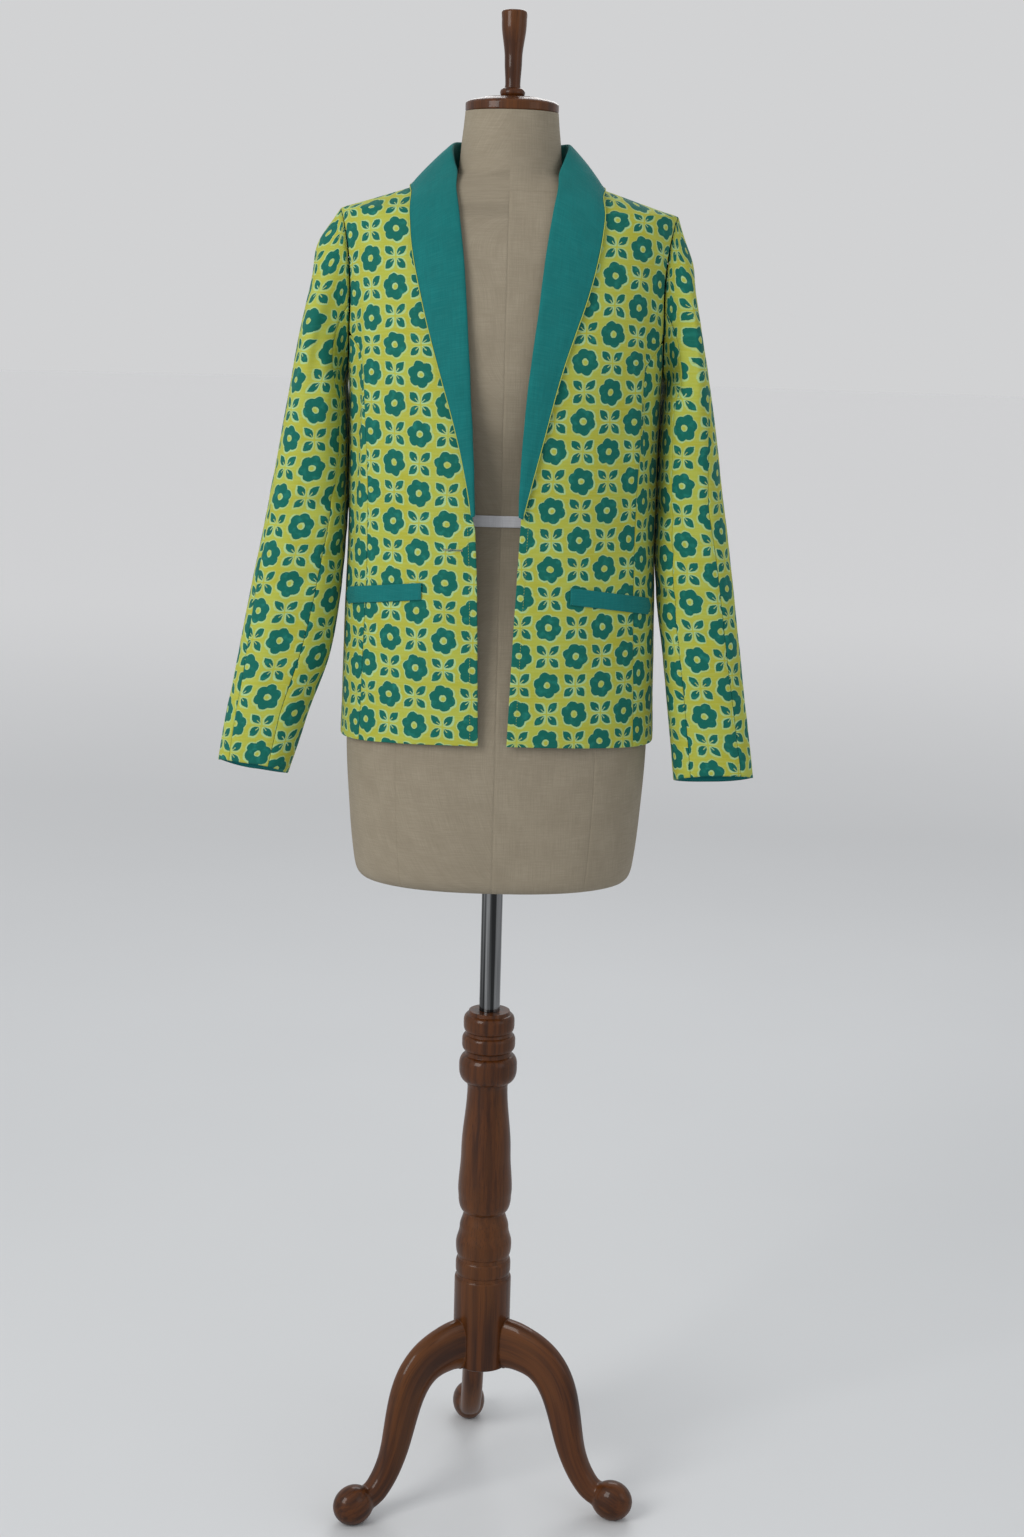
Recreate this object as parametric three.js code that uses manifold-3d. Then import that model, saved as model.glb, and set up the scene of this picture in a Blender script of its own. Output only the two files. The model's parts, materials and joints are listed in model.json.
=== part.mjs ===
// Open blazer with a shawl collar, worn on a limbless dress form on a turned tripod stand.
// Millimetres, +Z up from the floor. The front faces -Y, and +X is the wearer's left.
// The cloth is a thin wall on horizontal sections of the torso and of each sleeve.
import * as THREE from "three";
import { mergeVertices } from "three/addons/utils/BufferGeometryUtils.js";
import Module from "manifold-3d";

const wasm = await Module();
wasm.setup();

// Driving dimensions of the cloth
const wall = 1.5;
const seamGap = 0.3;
const hemFront = 966;
const hemSide = 958;
const hemBack = 955;
const underarm = 1375;
const shoulderTip = 1555;
const sideNeck = 1594;
const backNeckDrop = 14;
const armholeFront = 39;
const armholeBack = 66;
const breakPoint = 1222;
const princessTop = 120;
const sleeveTop = 1340;
const headGap = 0.8;
const collarWall = 1.5;
const weltHeight = 19;
const weltWall = 1.2;
const weltGap = 0.7;
const facingDepth = 34;
const facingWall = 1;
const facingGap = 1.9;

// Driving dimensions of the form and its stand
const formBottom = 789;
const neckTop = 1664;
const capDiameter = 104.6;
const capTop = 1680;
const handleTop = 1774;
const waistLevel = 1215.5;
const tapeHeight = 13;
const poleDiameter = 25;
const columnTop = 619;
const columnBottom = 165;
const blockDiameter = 69.5;
const legThickness = 27;
const legReach = 182;
const footRadius = 24.5;
const footSink = 1.9;
const legAngles = { leg_right: 215, leg_left: 335, leg_rear: 95 };

// The pole axis stands beside the middle of the whole, which is the origin
const poleX = 11.5;
const poleY = -32.5;

const armholeStep = 20;
const rad = THREE.MathUtils.degToRad;
const deg = THREE.MathUtils.radToDeg;
const lerp = THREE.MathUtils.lerp;
const clamp = THREE.MathUtils.clamp;

// A short table with named columns, a row for each section
function table(columns, rows) {
  return rows.map((row) => Object.fromEntries(columns.map((name, i) => [name, row[i]])));
}

// A smooth curve through two columns of a table, which never overshoots its points
function curve(rows, from, to) {
  const sorted = [...rows].sort((p, q) => p[from] - q[from]);
  const x = sorted.map((row) => row[from]);
  const y = sorted.map((row) => row[to]);
  const slope = x.slice(1).map((end, i) => (y[i + 1] - y[i]) / (end - x[i]));
  const tangent = x.map((_, i) => {
    if (i === 0) return slope[0];
    if (i === x.length - 1) return slope[i - 1];
    if (slope[i - 1] * slope[i] <= 0) return 0;
    return (2 * slope[i - 1] * slope[i]) / (slope[i - 1] + slope[i]);
  });
  return (value) => {
    const v = clamp(value, x[0], x[x.length - 1]);
    const i = clamp(x.findIndex((end) => end >= v) - 1, 0, x.length - 2);
    const width = x[i + 1] - x[i];
    const s = (v - x[i]) / width;
    const rise = s * s * (3 - 2 * s);
    const bend = s * (1 - s) * width;
    return lerp(y[i], y[i + 1], rise) + bend * ((1 - s) * tangent[i] - s * tangent[i + 1]);
  };
}

// Horizontal sections: half width, depth in front of and behind the axis, and squareness
const sectionColumns = ["z", "half", "front", "back", "square"];

const formSections = table(sectionColumns, [
  [789, 151, 102, 102, 2.4],
  [791, 157.5, 108, 108, 2.4],
  [796.5, 162, 112.5, 112.5, 2.4],
  [805, 164.5, 115, 115, 2.4],
  [864, 171, 118, 119, 2.4],
  [958, 176, 119, 122, 2.35],
  [1010, 173, 116, 121, 2.3],
  [1080, 160, 108, 116, 2.25],
  [1160, 137, 97, 104, 2.2],
  [1216, 121, 91, 92, 2.2],
  [1280, 127, 100, 96, 2.2],
  [1330, 141, 115, 105, 2.2],
  [1375, 150, 122, 113, 2.25],
  [1430, 154, 116, 118, 2.3],
  [1470, 160, 106, 117, 2.3],
  [1500, 168, 98, 112, 2.3],
  [1530, 176, 87, 101.5, 2.25],
  [1546, 178, 80, 93, 2.1],
  [1553, 175.5, 76, 88.5, 2],
  [1561.6, 163, 72, 85, 1.9],
  [1570.8, 134, 68, 80.5, 1.9],
  [1577.8, 112, 65.5, 75.5, 1.9],
  [1584.6, 88, 63.2, 70, 1.95],
  [1591, 69, 61, 65.5, 2],
  [1598, 59.5, 59, 62, 2],
  [1612, 57.3, 57, 58.5, 2],
  [1630, 55.8, 55.4, 56, 2],
  [1650, 53.6, 53.4, 53.6, 2],
  [1664, 52.3, 52.3, 52.3, 2],
]);

const clothSections = table(sectionColumns, [
  [950, 183, 128, 130, 2.3],
  [1050, 181, 129, 127, 2.3],
  [1115, 179.5, 129, 122, 2.3],
  [1200, 177, 128, 114, 2.3],
  [1290, 177, 130, 116, 2.3],
  [1375, 178.5, 131, 121, 2.3],
  [1430, 181.5, 122, 124, 2.3],
  [1470, 183.5, 111, 122, 2.3],
  [1500, 185.5, 102, 117, 2.3],
  [1530, 188.2, 91, 106, 2.25],
  [1546, 189.8, 84, 98, 2.1],
  [1555, 190.5, 79.5, 92.5, 2],
  [1559, 178, 77, 90, 1.9],
  [1566, 156, 73, 86, 1.9],
  [1573, 134, 70.3, 82.5, 1.9],
  [1580, 112, 67.8, 77.5, 1.9],
  [1587, 88, 65.6, 72.6, 1.95],
  [1594, 71, 63.8, 68.6, 2],
  [1602, 64.5, 62.3, 65.5, 2],
  [1618, 62.5, 60.5, 63, 2],
  [1640, 61, 59, 61.5, 2],
]);

// Soft vertical folds of the body: turn round the body, middle height, size, depth (out is +)
const bodyFolds = table(["turn", "z", "wide", "tall", "depth", "lean"], [
  [-67, 1330, 5, 95, -4.5, 0.02],
  [-59, 1300, 6, 110, 3, 0.02],
  [-40, 1240, 9, 90, -2, -0.03],
  [63, 1350, 5, 80, -4.5, -0.03],
  [55, 1310, 6, 100, 3, -0.03],
  [74, 1240, 5, 80, -3, 0],
  [38, 1120, 9, 90, -2, 0.02],
  [128, 1290, 9, 110, 3, 0.02],
  [232, 1270, 9, 120, 3, -0.02],
  [160, 1180, 8, 90, -2.5, 0],
  [198, 1200, 8, 100, 2.5, 0],
]);

// A point of a section at a turn in degrees from the centre front towards +X
function sectionPoint(half, front, back, square, turn, z) {
  const s = Math.sin(rad(turn));
  const c = Math.cos(rad(turn));
  const power = 2 / square;
  const x = half * Math.sign(s) * Math.abs(s) ** power;
  const depth = c > 0 ? front : back;
  return new THREE.Vector3(x, -depth * Math.sign(c) * Math.abs(c) ** power, z);
}

function sectionCurves(rows) {
  const [half, front, back, square] = ["half", "front", "back", "square"].map((to) =>
    curve(rows, "z", to)
  );
  const at = (turn, z) => sectionPoint(half(z), front(z), back(z), square(z), turn, z);
  return { half, front, back, square, at };
}

const formShape = sectionCurves(formSections);
const clothShape = sectionCurves(clothSections);

function outward(at, u, v, du = 0.6, dv = 0.6) {
  const alongU = at(u + du, v).sub(at(u - du, v));
  const alongV = at(u, v + dv).sub(at(u, v - dv));
  return alongU.cross(alongV).normalize();
}

function foldDepth(turn, z) {
  return bodyFolds.reduce((sum, fold) => {
    const off = ((turn - fold.turn - fold.lean * (z - fold.z) + 540) % 360) - 180;
    return sum + fold.depth * Math.exp(-((off / fold.wide) ** 2) - ((z - fold.z) / fold.tall) ** 2);
  }, 0);
}

// The cloth's outer surface, and a point moved out from it along its normal
function cloth(turn, z, out = 0) {
  const depth = foldDepth(turn, z) + out;
  const point = clothShape.at(turn, z);
  if (Math.abs(depth) < 1e-6) return point;
  return point.addScaledVector(outward(clothShape.at, turn, z), depth);
}

function formSurface(turn, z, out = 0) {
  return formShape.at(turn, z).addScaledVector(outward(formShape.at, turn, z), out);
}

// The turn at which a section passes a given distance from the centre line, or from the side
const turnAtWidth = (x, z) => {
  const share = clamp(x / clothShape.half(z), 0, 1);
  return deg(Math.asin(share ** (clothShape.square(z) / 2)));
};
const turnAtDepth = (y, z) => {
  const depth = y < 0 ? clothShape.front(z) : clothShape.back(z);
  const fromSide = deg(Math.asin(clamp(Math.abs(y) / depth, 0, 1) ** (clothShape.square(z) / 2)));
  return y < 0 ? 90 - fromSide : 90 + fromSide;
};

function shiftTurn(turn, z, distance) {
  const reach = clothShape.at(turn + 0.5, z).distanceTo(clothShape.at(turn - 0.5, z));
  return turn + distance / Math.max(reach, 0.2);
}

// Closed surfaces from grids of points
function solid(positions, indices) {
  const geometry = new THREE.BufferGeometry();
  geometry.setAttribute("position", new THREE.Float32BufferAttribute(positions, 3));
  geometry.setIndex(indices);
  let volume = 0;
  const corner = (i) => new THREE.Vector3().fromArray(positions, indices[i] * 3);
  for (let i = 0; i < indices.length; i += 3) {
    volume += corner(i).dot(corner(i + 1).cross(corner(i + 2)));
  }
  if (volume < 0) geometry.setIndex(indices.slice().reverse());
  geometry.computeVertexNormals();
  return geometry;
}

const flatten = (grid) => grid.flat().flatMap((point) => point.toArray());

function quads(rows, columns, offset, flip, closed) {
  const faces = [];
  const id = (i, j) => offset + i * columns + (j % columns);
  for (let i = 0; i < rows - 1; i += 1) {
    for (let j = 0; j < columns - (closed ? 0 : 1); j += 1) {
      const [a, b, c, d] = [id(i, j), id(i, j + 1), id(i + 1, j + 1), id(i + 1, j)];
      faces.push(...(flip ? [a, c, b, a, d, c] : [a, b, c, a, c, d]));
    }
  }
  return faces;
}

// A wall between an outer and an inner grid, closed along its rim
function sheet(outer, inner) {
  const rows = outer.length;
  const columns = outer[0].length;
  const size = rows * columns;
  const faces = [...quads(rows, columns, 0, false), ...quads(rows, columns, size, true)];
  const rim = [];
  for (let j = 0; j < columns - 1; j += 1) rim.push(j);
  for (let i = 0; i < rows - 1; i += 1) rim.push(i * columns + columns - 1);
  for (let j = columns - 1; j > 0; j -= 1) rim.push((rows - 1) * columns + j);
  for (let i = rows - 1; i > 0; i -= 1) rim.push(i * columns);
  rim.forEach((a, k) => {
    const b = rim[(k + 1) % rim.length];
    faces.push(a, a + size, b + size, a, b + size, b);
  });
  return solid([...flatten(outer), ...flatten(inner)], faces);
}

// A band that closes on itself, with an outer and an inner wall
function band(outer, inner) {
  const rows = outer.length;
  const columns = outer[0].length;
  const size = rows * columns;
  const faces = [...quads(rows, columns, 0, false, true), ...quads(rows, columns, size, true, true)];
  for (let j = 0; j < columns; j += 1) {
    const next = (j + 1) % columns;
    const last = (rows - 1) * columns;
    faces.push(j, size + j, size + next, j, size + next, next);
    faces.push(last + j, last + next, size + last + next, last + j, size + last + next, size + last + j);
  }
  return solid([...flatten(outer), ...flatten(inner)], faces);
}

// Closed rings one after another, capped at both ends
function loft(rings) {
  const columns = rings[0].length;
  const faces = quads(rings.length, columns, 0, false, true);
  const positions = flatten(rings);
  [0, rings.length - 1].forEach((row, end) => {
    const middle = new THREE.Vector3();
    rings[row].forEach((point) => middle.addScaledVector(point, 1 / columns));
    const hub = positions.length / 3;
    positions.push(...middle.toArray());
    for (let j = 0; j < columns; j += 1) {
      const a = row * columns + j;
      const b = row * columns + ((j + 1) % columns);
      faces.push(...(end ? [hub, a, b] : [hub, b, a]));
    }
  });
  return solid(positions, faces);
}

function toManifold(geometry) {
  const plain = geometry.clone();
  plain.deleteAttribute("normal");
  plain.deleteAttribute("uv");
  const merged = mergeVertices(plain, 1e-4);
  const vertProperties = new Float32Array(merged.attributes.position.array);
  const triVerts = new Uint32Array(merged.index.array);
  return new wasm.Manifold(new wasm.Mesh({ numProp: 3, vertProperties, triVerts }));
}

function fromManifold(shape) {
  const mesh = shape.getMesh();
  return solid(Array.from(mesh.vertProperties), Array.from(mesh.triVerts));
}

const spread = (count, make) => Array.from({ length: count + 1 }, (_, i) => make(i / count));

// Materials
const material = (color, roughness, metalness = 0) =>
  new THREE.MeshStandardMaterial({ color, roughness, metalness });
const finishes = {
  print: () => material(0xb9bb4f, 0.85),
  teal: () => material(0x1c7a72, 0.85),
  cover: () => material(0x9a907f, 0.9),
  tape: () => material(0xc9c9cc, 0.45),
  wood: () => material(0x5c2f17, 0.3),
  chrome: () => material(0xb8bcc2, 0.15, 1),
};

const blazer = new THREE.Group();
const stand = new THREE.Group();

function add(group, name, geometry, finish) {
  const mesh = new THREE.Mesh(geometry, finishes[finish]());
  mesh.name = name;
  group.add(mesh);
  return mesh;
}

// The armhole is an egg-shaped loop round the top of each side, from an angle round it
const armholeMiddle = (shoulderTip + underarm) / 2;
const armholeHalf = (shoulderTip - underarm) / 2;
const armholeZ = (angle) => armholeMiddle + armholeHalf * Math.cos(rad(angle));
const armholeY = (angle) => {
  const s = Math.sin(rad(angle));
  return -s * (s > 0 ? armholeFront : armholeBack);
};
const armholeTurn = (angle) => turnAtDepth(armholeY(angle), armholeZ(angle));

// The rest of the front's edges, by height: front edge and roll line, then the princess seam
const edgeColumns = ["z", "x"];
const rightEdge = curve(table(edgeColumns, [[955, 19.4], [1087, 23], [1150, 25], [1209, 28.3]]), "z", "x");
const leftEdge = curve(table(edgeColumns, [[955, 12], [1087, 16.5], [1209, 21.5]]), "z", "x");
const princessEnd = clothShape.at(armholeTurn(princessTop), armholeZ(princessTop));
const princessRows = table(edgeColumns, [
  [950, 158],
  [1060, 154.5],
  [1160, 151],
  [1250, 150],
  [1324, 153],
  [1385, 160],
]);
const princess = curve([...princessRows, { z: princessEnd.z, x: princessEnd.x }], "z", "x");

// The collar from the break point to the side of the neck: where it rolls, and its outer edge.
// The right half stands a little further open than the left
const rollColumns = ["zRoll", "xRoll", "zEdge", "xEdge"];
const collarFront = {
  right: table(rollColumns, [
    [1224, 29, 1222, 32.5],
    [1245, 29.9, 1242, 35.2],
    [1285, 31.9, 1281, 43.2],
    [1330, 34.7, 1326, 54.2],
    [1380, 38.2, 1374, 68.8],
    [1430, 41.9, 1421, 82.8],
    [1480, 46.2, 1466, 94.4],
    [1524, 50.4, 1503, 103],
    [1560, 54.2, 1529, 107],
    [1585, 57.3, 1549, 108.3],
  ]),
  left: table(rollColumns, [
    [1224, 19.6, 1222, 23.6],
    [1245, 19.9, 1242, 28.2],
    [1285, 21.1, 1281, 37.7],
    [1330, 23.4, 1326, 48.4],
    [1380, 28, 1374, 59.6],
    [1430, 34, 1421, 74.6],
    [1480, 39.3, 1466, 89.6],
    [1524, 43.5, 1503, 98.4],
    [1560, 47.7, 1529, 103],
    [1585, 52.4, 1549, 105],
  ]),
};

// The collar round the neck: turn and height of the roll, and of the outer edge
const neckColumns = ["turnRoll", "zRoll", "turnEdge", "zEdge"];
const behindNeck = [
  [114, 1634, 117, 1577],
  [136, 1634, 140, 1566],
  [159, 1633, 161, 1558],
  [180, 1632, 180, 1555],
];
const collarNeck = {
  right: table(neckColumns, [
    [58, 1599, 48.7, 1569.6],
    [74, 1616, 66, 1577],
    [95, 1630, 92, 1581],
    ...behindNeck,
  ]),
  left: table(neckColumns, [
    [53, 1601, 45.4, 1569.6],
    [70, 1622, 64, 1578],
    [95, 1633, 92, 1583],
    ...behindNeck,
  ]),
};

const sideName = (side) => (side > 0 ? "left" : "right");
const rollWidths = {
  right: curve(collarFront.right, "zRoll", "xRoll"),
  left: curve(collarFront.left, "zRoll", "xRoll"),
};
const edgeBehindRoll = 2.6;

function frontEdgeTurn(z, side) {
  const below = side > 0 ? leftEdge : rightEdge;
  const rollWidth = rollWidths[sideName(side)];
  if (z < 1209) return turnAtWidth(below(z), z);
  const blend = clamp((z - 1209) / (breakPoint - 1209), 0, 1);
  if (z <= 1585) return turnAtWidth(lerp(below(z), rollWidth(z) + edgeBehindRoll, blend), z);
  const top = collarNeck[sideName(side)][0].turnRoll + 4;
  return lerp(turnAtWidth(rollWidth(1585) + edgeBehindRoll, 1585), top, (z - 1585) / 9);
}

const hemHeight = (turn) => {
  const c = Math.cos(rad(turn));
  return lerp(hemSide, c > 0 ? hemFront : hemBack, c * c);
};

// Rows of the body from the hem to the neck, each with its nominal height and its own bend
const lowerRows = spread(11, (s) => ({
  nominal: lerp(hemFront, underarm, s),
  z: (turn) => lerp(hemHeight(turn), underarm, s),
}));
const armholeAngles = [];
for (let angle = 180 - armholeStep; angle >= 0; angle -= armholeStep) armholeAngles.push(angle);
const armholeRows = armholeAngles.map((angle) => ({
  angle,
  nominal: armholeZ(angle),
  z: () => armholeZ(angle),
}));
const neckline = (turn) => {
  const behind = Math.max(0, -Math.cos(rad(turn)));
  return sideNeck - backNeckDrop * behind ** 1.4;
};
const shoulderRows = [0.14, 0.32, 0.52, 0.72, 0.88, 1].map((s) => ({
  nominal: lerp(shoulderTip, sideNeck, s),
  z: (turn) => lerp(shoulderTip, neckline(turn), s),
}));

function rowPoints(row, fromTurn, toTurn, columns, out) {
  return spread(columns, (s) => {
    const turn = lerp(fromTurn, toTurn, s);
    return cloth(turn, row.z(turn), out);
  });
}

function panel(rows, edges, columns) {
  const grid = (out) => rows.map((row) => rowPoints(row, ...edges(row), columns, out));
  return sheet(grid(0), grid(-wall));
}

const half = seamGap / 2;

function frontPanel(side) {
  const rows = [...lowerRows, ...armholeRows, ...shoulderRows];
  const edges = (row) => {
    const z = row.nominal;
    let outer = turnAtWidth(princess(z), z);
    if (row.angle !== undefined && row.angle <= princessTop) outer = armholeTurn(row.angle);
    if (z >= shoulderTip) outer = 90;
    const turns = [frontEdgeTurn(z, side), shiftTurn(outer, z, -half)];
    return turns.map((turn) => side * turn);
  };
  return panel(rows, edges, 7);
}

// The side front ends in a point where the princess seam meets the armhole
function sideFrontPanel(side) {
  const low = lowerRows;
  const high = armholeRows.filter((row) => row.angle >= princessTop);
  const edges = (row) => {
    const z = row.nominal;
    const atSide = row.angle === undefined ? 90 : armholeTurn(row.angle);
    const turns = [shiftTurn(turnAtWidth(princess(z), z), z, half), shiftTurn(atSide, z, -half)];
    return turns.map((turn) => side * turn);
  };
  const grid = (out) => {
    const rows = [...low, ...high].map((row) => rowPoints(row, ...edges(row), 3, out));
    const tip = rows.pop()[0];
    const last = rows[rows.length - 1];
    rows.push(last.map((point) => point.clone().lerp(tip, 0.86)));
    return rows;
  };
  return sheet(grid(0), grid(-wall));
}

function backPanel() {
  const rows = [...lowerRows, ...armholeRows, ...shoulderRows];
  const edges = (row) => {
    const z = row.nominal;
    const turn = row.angle === undefined ? 90 : armholeTurn(360 - row.angle);
    const edge = shiftTurn(turn, z, half);
    return [edge, 360 - edge];
  };
  return panel(rows, edges, 16);
}

add(blazer, "front_left", frontPanel(1), "print");
add(blazer, "front_right", frontPanel(-1), "print");
add(blazer, "side_front_left", sideFrontPanel(1), "print");
add(blazer, "side_front_right", sideFrontPanel(-1), "print");
add(blazer, "back", backPanel(), "print");

// Sleeves: outer and inner edge in the front view, by height, with middle depth and half depth
const sleeveColumns = ["z", "outer", "inner", "middle", "deep"];
const sleeves = {
  right: {
    side: -1,
    head: [0.48, 0, -0.88],
    cuff: { middle: 919.3, outer: 7, front: 10.1 },
    sections: table(sleeveColumns, [
      [1340, 248, 181.5, -2, 63],
      [1287, 257, 181, -7, 59],
      [1242, 265, 180.5, -12, 55],
      [1201, 272, 180.5, -16, 52],
      [1131, 286, 184, -22, 48],
      [1084, 294.5, 188.5, -26, 45],
      [1047, 301, 196, -30, 43],
      [1015, 307, 207, -33, 42],
      [985, 313, 218, -36, 41],
      [955, 318, 227, -39, 40],
      [900, 326, 245, -44, 38],
    ]),
    seams: table(["z", "hind", "front"], [
      [1555, -60, 100],
      [1450, -30, 122],
      [1400, -8, 136],
      [1345, 12, 145],
      [1300, 22, 144],
      [1200, 30, 124],
      [1100, 38, 112],
      [1000, 47, 106],
      [900, 56, 112],
    ]),
    folds: table(["angle", "z", "wide", "tall", "depth", "lean"], [
      [120, 1230, 40, 9, -3.5, 0.25],
      [150, 1175, 38, 8, -3, 0.2],
      [60, 1205, 34, 8, -2.5, -0.3],
      [95, 1140, 36, 9, -3, 0.2],
      [250, 1215, 40, 10, -3, 0.1],
      [90, 1400, 14, 60, -4, 0],
      [265, 1400, 14, 60, -3.5, 0],
      [75, 1060, 12, 90, 2, 0],
      [0, 1522, 60, 30, 9, 0],
    ]),
  },
  left: {
    side: 1,
    head: [0.25, 0, -0.97],
    cuff: { middle: 918.8, outer: 2.5, front: 10.1 },
    sections: table(sleeveColumns, [
      [1340, 238, 180.5, -2, 66],
      [1298, 245, 180.5, -6, 62],
      [1258, 250.5, 180, -10, 58],
      [1229, 255, 179.5, -13, 56],
      [1188, 261.6, 179.5, -17, 53],
      [1155, 266.5, 180.5, -20, 51],
      [1110, 273, 184.5, -24, 48],
      [1071, 278.5, 188.5, -28, 46],
      [1037, 283, 193, -31, 44],
      [1003, 288, 197, -35, 41],
      [962, 294, 202, -39, 38],
      [900, 303, 209, -45, 35],
    ]),
    seams: table(["z", "hind", "front"], [
      [1555, -60, 100],
      [1460, -22, 116],
      [1395, 20, 126],
      [1330, 56, 129],
      [1240, 68, 128],
      [1170, 61, 126],
      [1080, 58, 124],
      [1000, 56, 122],
      [900, 52, 122],
    ]),
    folds: table(["angle", "z", "wide", "tall", "depth", "lean"], [
      [130, 1380, 26, 26, -6, 0.3],
      [150, 1225, 36, 9, -3.5, 0.2],
      [110, 1185, 34, 8, -2.5, -0.2],
      [140, 1130, 38, 9, -3, 0.2],
      [95, 1085, 30, 8, -2, -0.2],
      [255, 1210, 40, 10, -3, 0.1],
      [90, 1400, 14, 60, -4, 0],
      [115, 1150, 12, 150, -3, 0],
      [0, 1508, 60, 34, 6, 0],
    ]),
  },
};

// One sleeve's outer surface, from an angle round it (0 outside, 90 front) and a share down it
function sleeveSurface(shape) {
  const { side, head, cuff, sections, seams, folds } = shape;
  const column = (name) => curve(sections, "z", name);
  const [outer, inner, middle, deep] = ["outer", "inner", "middle", "deep"].map(column);
  const headShare = 0.32;
  const ringPoint = (angle, z) => {
    const c = Math.cos(rad(angle));
    const s = Math.sin(rad(angle));
    const power = 2 / 2.5;
    const halfWidth = (outer(z) - inner(z)) / 2;
    const x = (outer(z) + inner(z)) / 2 + halfWidth * Math.sign(c) * Math.abs(c) ** power;
    return new THREE.Vector3(x, middle(z) - deep(z) * Math.sign(s) * Math.abs(s) ** power, z);
  };
  const headPoint = (angle, share) => {
    const turn = armholeTurn(angle);
    const z = armholeZ(angle);
    const c = Math.cos(rad(angle));
    const start = cloth(turn, z, 0.3);
    const away = outward(clothShape.at, turn, z);
    const low = away.clone().multiplyScalar(0.5).add(new THREE.Vector3(0, 0, -0.85));
    const level = away.clone().multiplyScalar(0.75).add(new THREE.Vector3(0.1, 0, -0.55));
    const up = new THREE.Vector3(...head);
    const way = level.lerp(c > 0 ? up : low, c * c).normalize();
    start.addScaledVector(way, headGap);
    const end = ringPoint(angle, sleeveTop);
    const down = ringPoint(angle, sleeveTop - 20).sub(end).normalize();
    const span = start.distanceTo(end);
    const u = share;
    const bend = u * (1 - u) * span;
    start.lerp(end, u * u * (3 - 2 * u));
    return start.addScaledVector(way, bend * (1 - u)).addScaledVector(down, -bend * u);
  };
  const smooth = (angle, share) => {
    if (share < headShare) return headPoint(angle, share / headShare);
    const c = Math.cos(rad(angle));
    const s = Math.sin(rad(angle));
    const low = cuff.middle + cuff.outer * c + cuff.front * s;
    return ringPoint(angle, lerp(sleeveTop, low, (share - headShare) / (1 - headShare)));
  };
  const normal = (angle, share) => outward(smooth, angle, clamp(share, 0.004, 0.996), 2, 0.004);
  const foldAt = (angle, z, share) => {
    const fade = clamp(share / 0.08, 0, 1) * clamp((1 - share) / 0.06, 0, 1);
    return fade * folds.reduce((sum, fold) => {
      const off = ((angle - fold.angle + 540) % 360) - 180;
      const rise = z - fold.z - fold.lean * off;
      return sum + fold.depth * Math.exp(-((off / fold.wide) ** 2) - (rise / fold.tall) ** 2);
    }, 0);
  };
  const at = (angle, share, out = 0) => {
    const point = smooth(angle, share);
    point.addScaledVector(normal(angle, share), out + foldAt(angle, point.z, share));
    point.x *= side;
    return point;
  };
  const seamAngles = (share) => {
    const z = lerp(shoulderTip, cuff.middle, share);
    return [curve(seams, "z", "hind")(z), curve(seams, "z", "front")(z)];
  };
  return { at, seamAngles };
}

const sleeveRows = [0, 0.03, 0.075, 0.13, 0.19, 0.255, 0.32];
for (let i = 1; i <= 13; i += 1) sleeveRows.push(lerp(0.32, 1, i / 13));

// The seams of the sleeve head start on the armhole's own points
const headAngles = [-60, 100];

function sleevePiece(surface, upper) {
  const columns = (upper ? 160 : 200) / armholeStep;
  const grid = (out) =>
    sleeveRows.map((share) => {
      const [hind, front] = share === 0 ? headAngles : surface.seamAngles(share);
      const [from, to] = upper ? [hind, front] : [front, hind + 360];
      const reach = surface.at(from + 1, share).distanceTo(surface.at(from - 1, share)) / 2;
      const gap = half + 0.3 * clamp(1 - share / 0.32, 0, 1);
      const trim = gap / Math.max(reach, 0.3);
      return spread(columns, (s) => surface.at(lerp(from + trim, to - trim, s), share, out));
    });
  return sheet(grid(0), grid(-wall));
}

function cuffFacing(surface) {
  const count = 24;
  const rows = [0.998, 1 - facingDepth / 640];
  const depth = (share, out) =>
    Array.from({ length: count }, (_, i) => surface.at((360 * i) / count, share, out));
  const outer = rows.map((share) => depth(share, -wall - facingGap));
  const inner = rows.map((share) => depth(share, -wall - facingGap - facingWall));
  return band(outer, inner);
}

Object.entries(sleeves).forEach(([name, shape]) => {
  const surface = sleeveSurface(shape);
  add(blazer, `upper_sleeve_${name}`, sleevePiece(surface, true), "print");
  add(blazer, `under_sleeve_${name}`, sleevePiece(surface, false), "print");
  add(blazer, `cuff_facing_${name}`, cuffFacing(surface), "teal");
});

// Collar: a stand against the neck, a soft roll and a fall that lies over the front and back
function collarCurves(name) {
  const stations = [
    ...collarFront[name].map((row) => ({
      turnRoll: turnAtWidth(row.xRoll, row.zRoll),
      zRoll: row.zRoll,
      turnEdge: turnAtWidth(row.xEdge, row.zEdge),
      zEdge: row.zEdge,
    })),
    ...collarNeck[name],
  ].map((row, index) => ({ ...row, index }));
  return Object.fromEntries(neckColumns.map((column) => [column, curve(stations, "index", column)]));
}
const neckStart = collarFront.right.length - 1;
const lastStation = neckStart + collarNeck.right.length;

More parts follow.
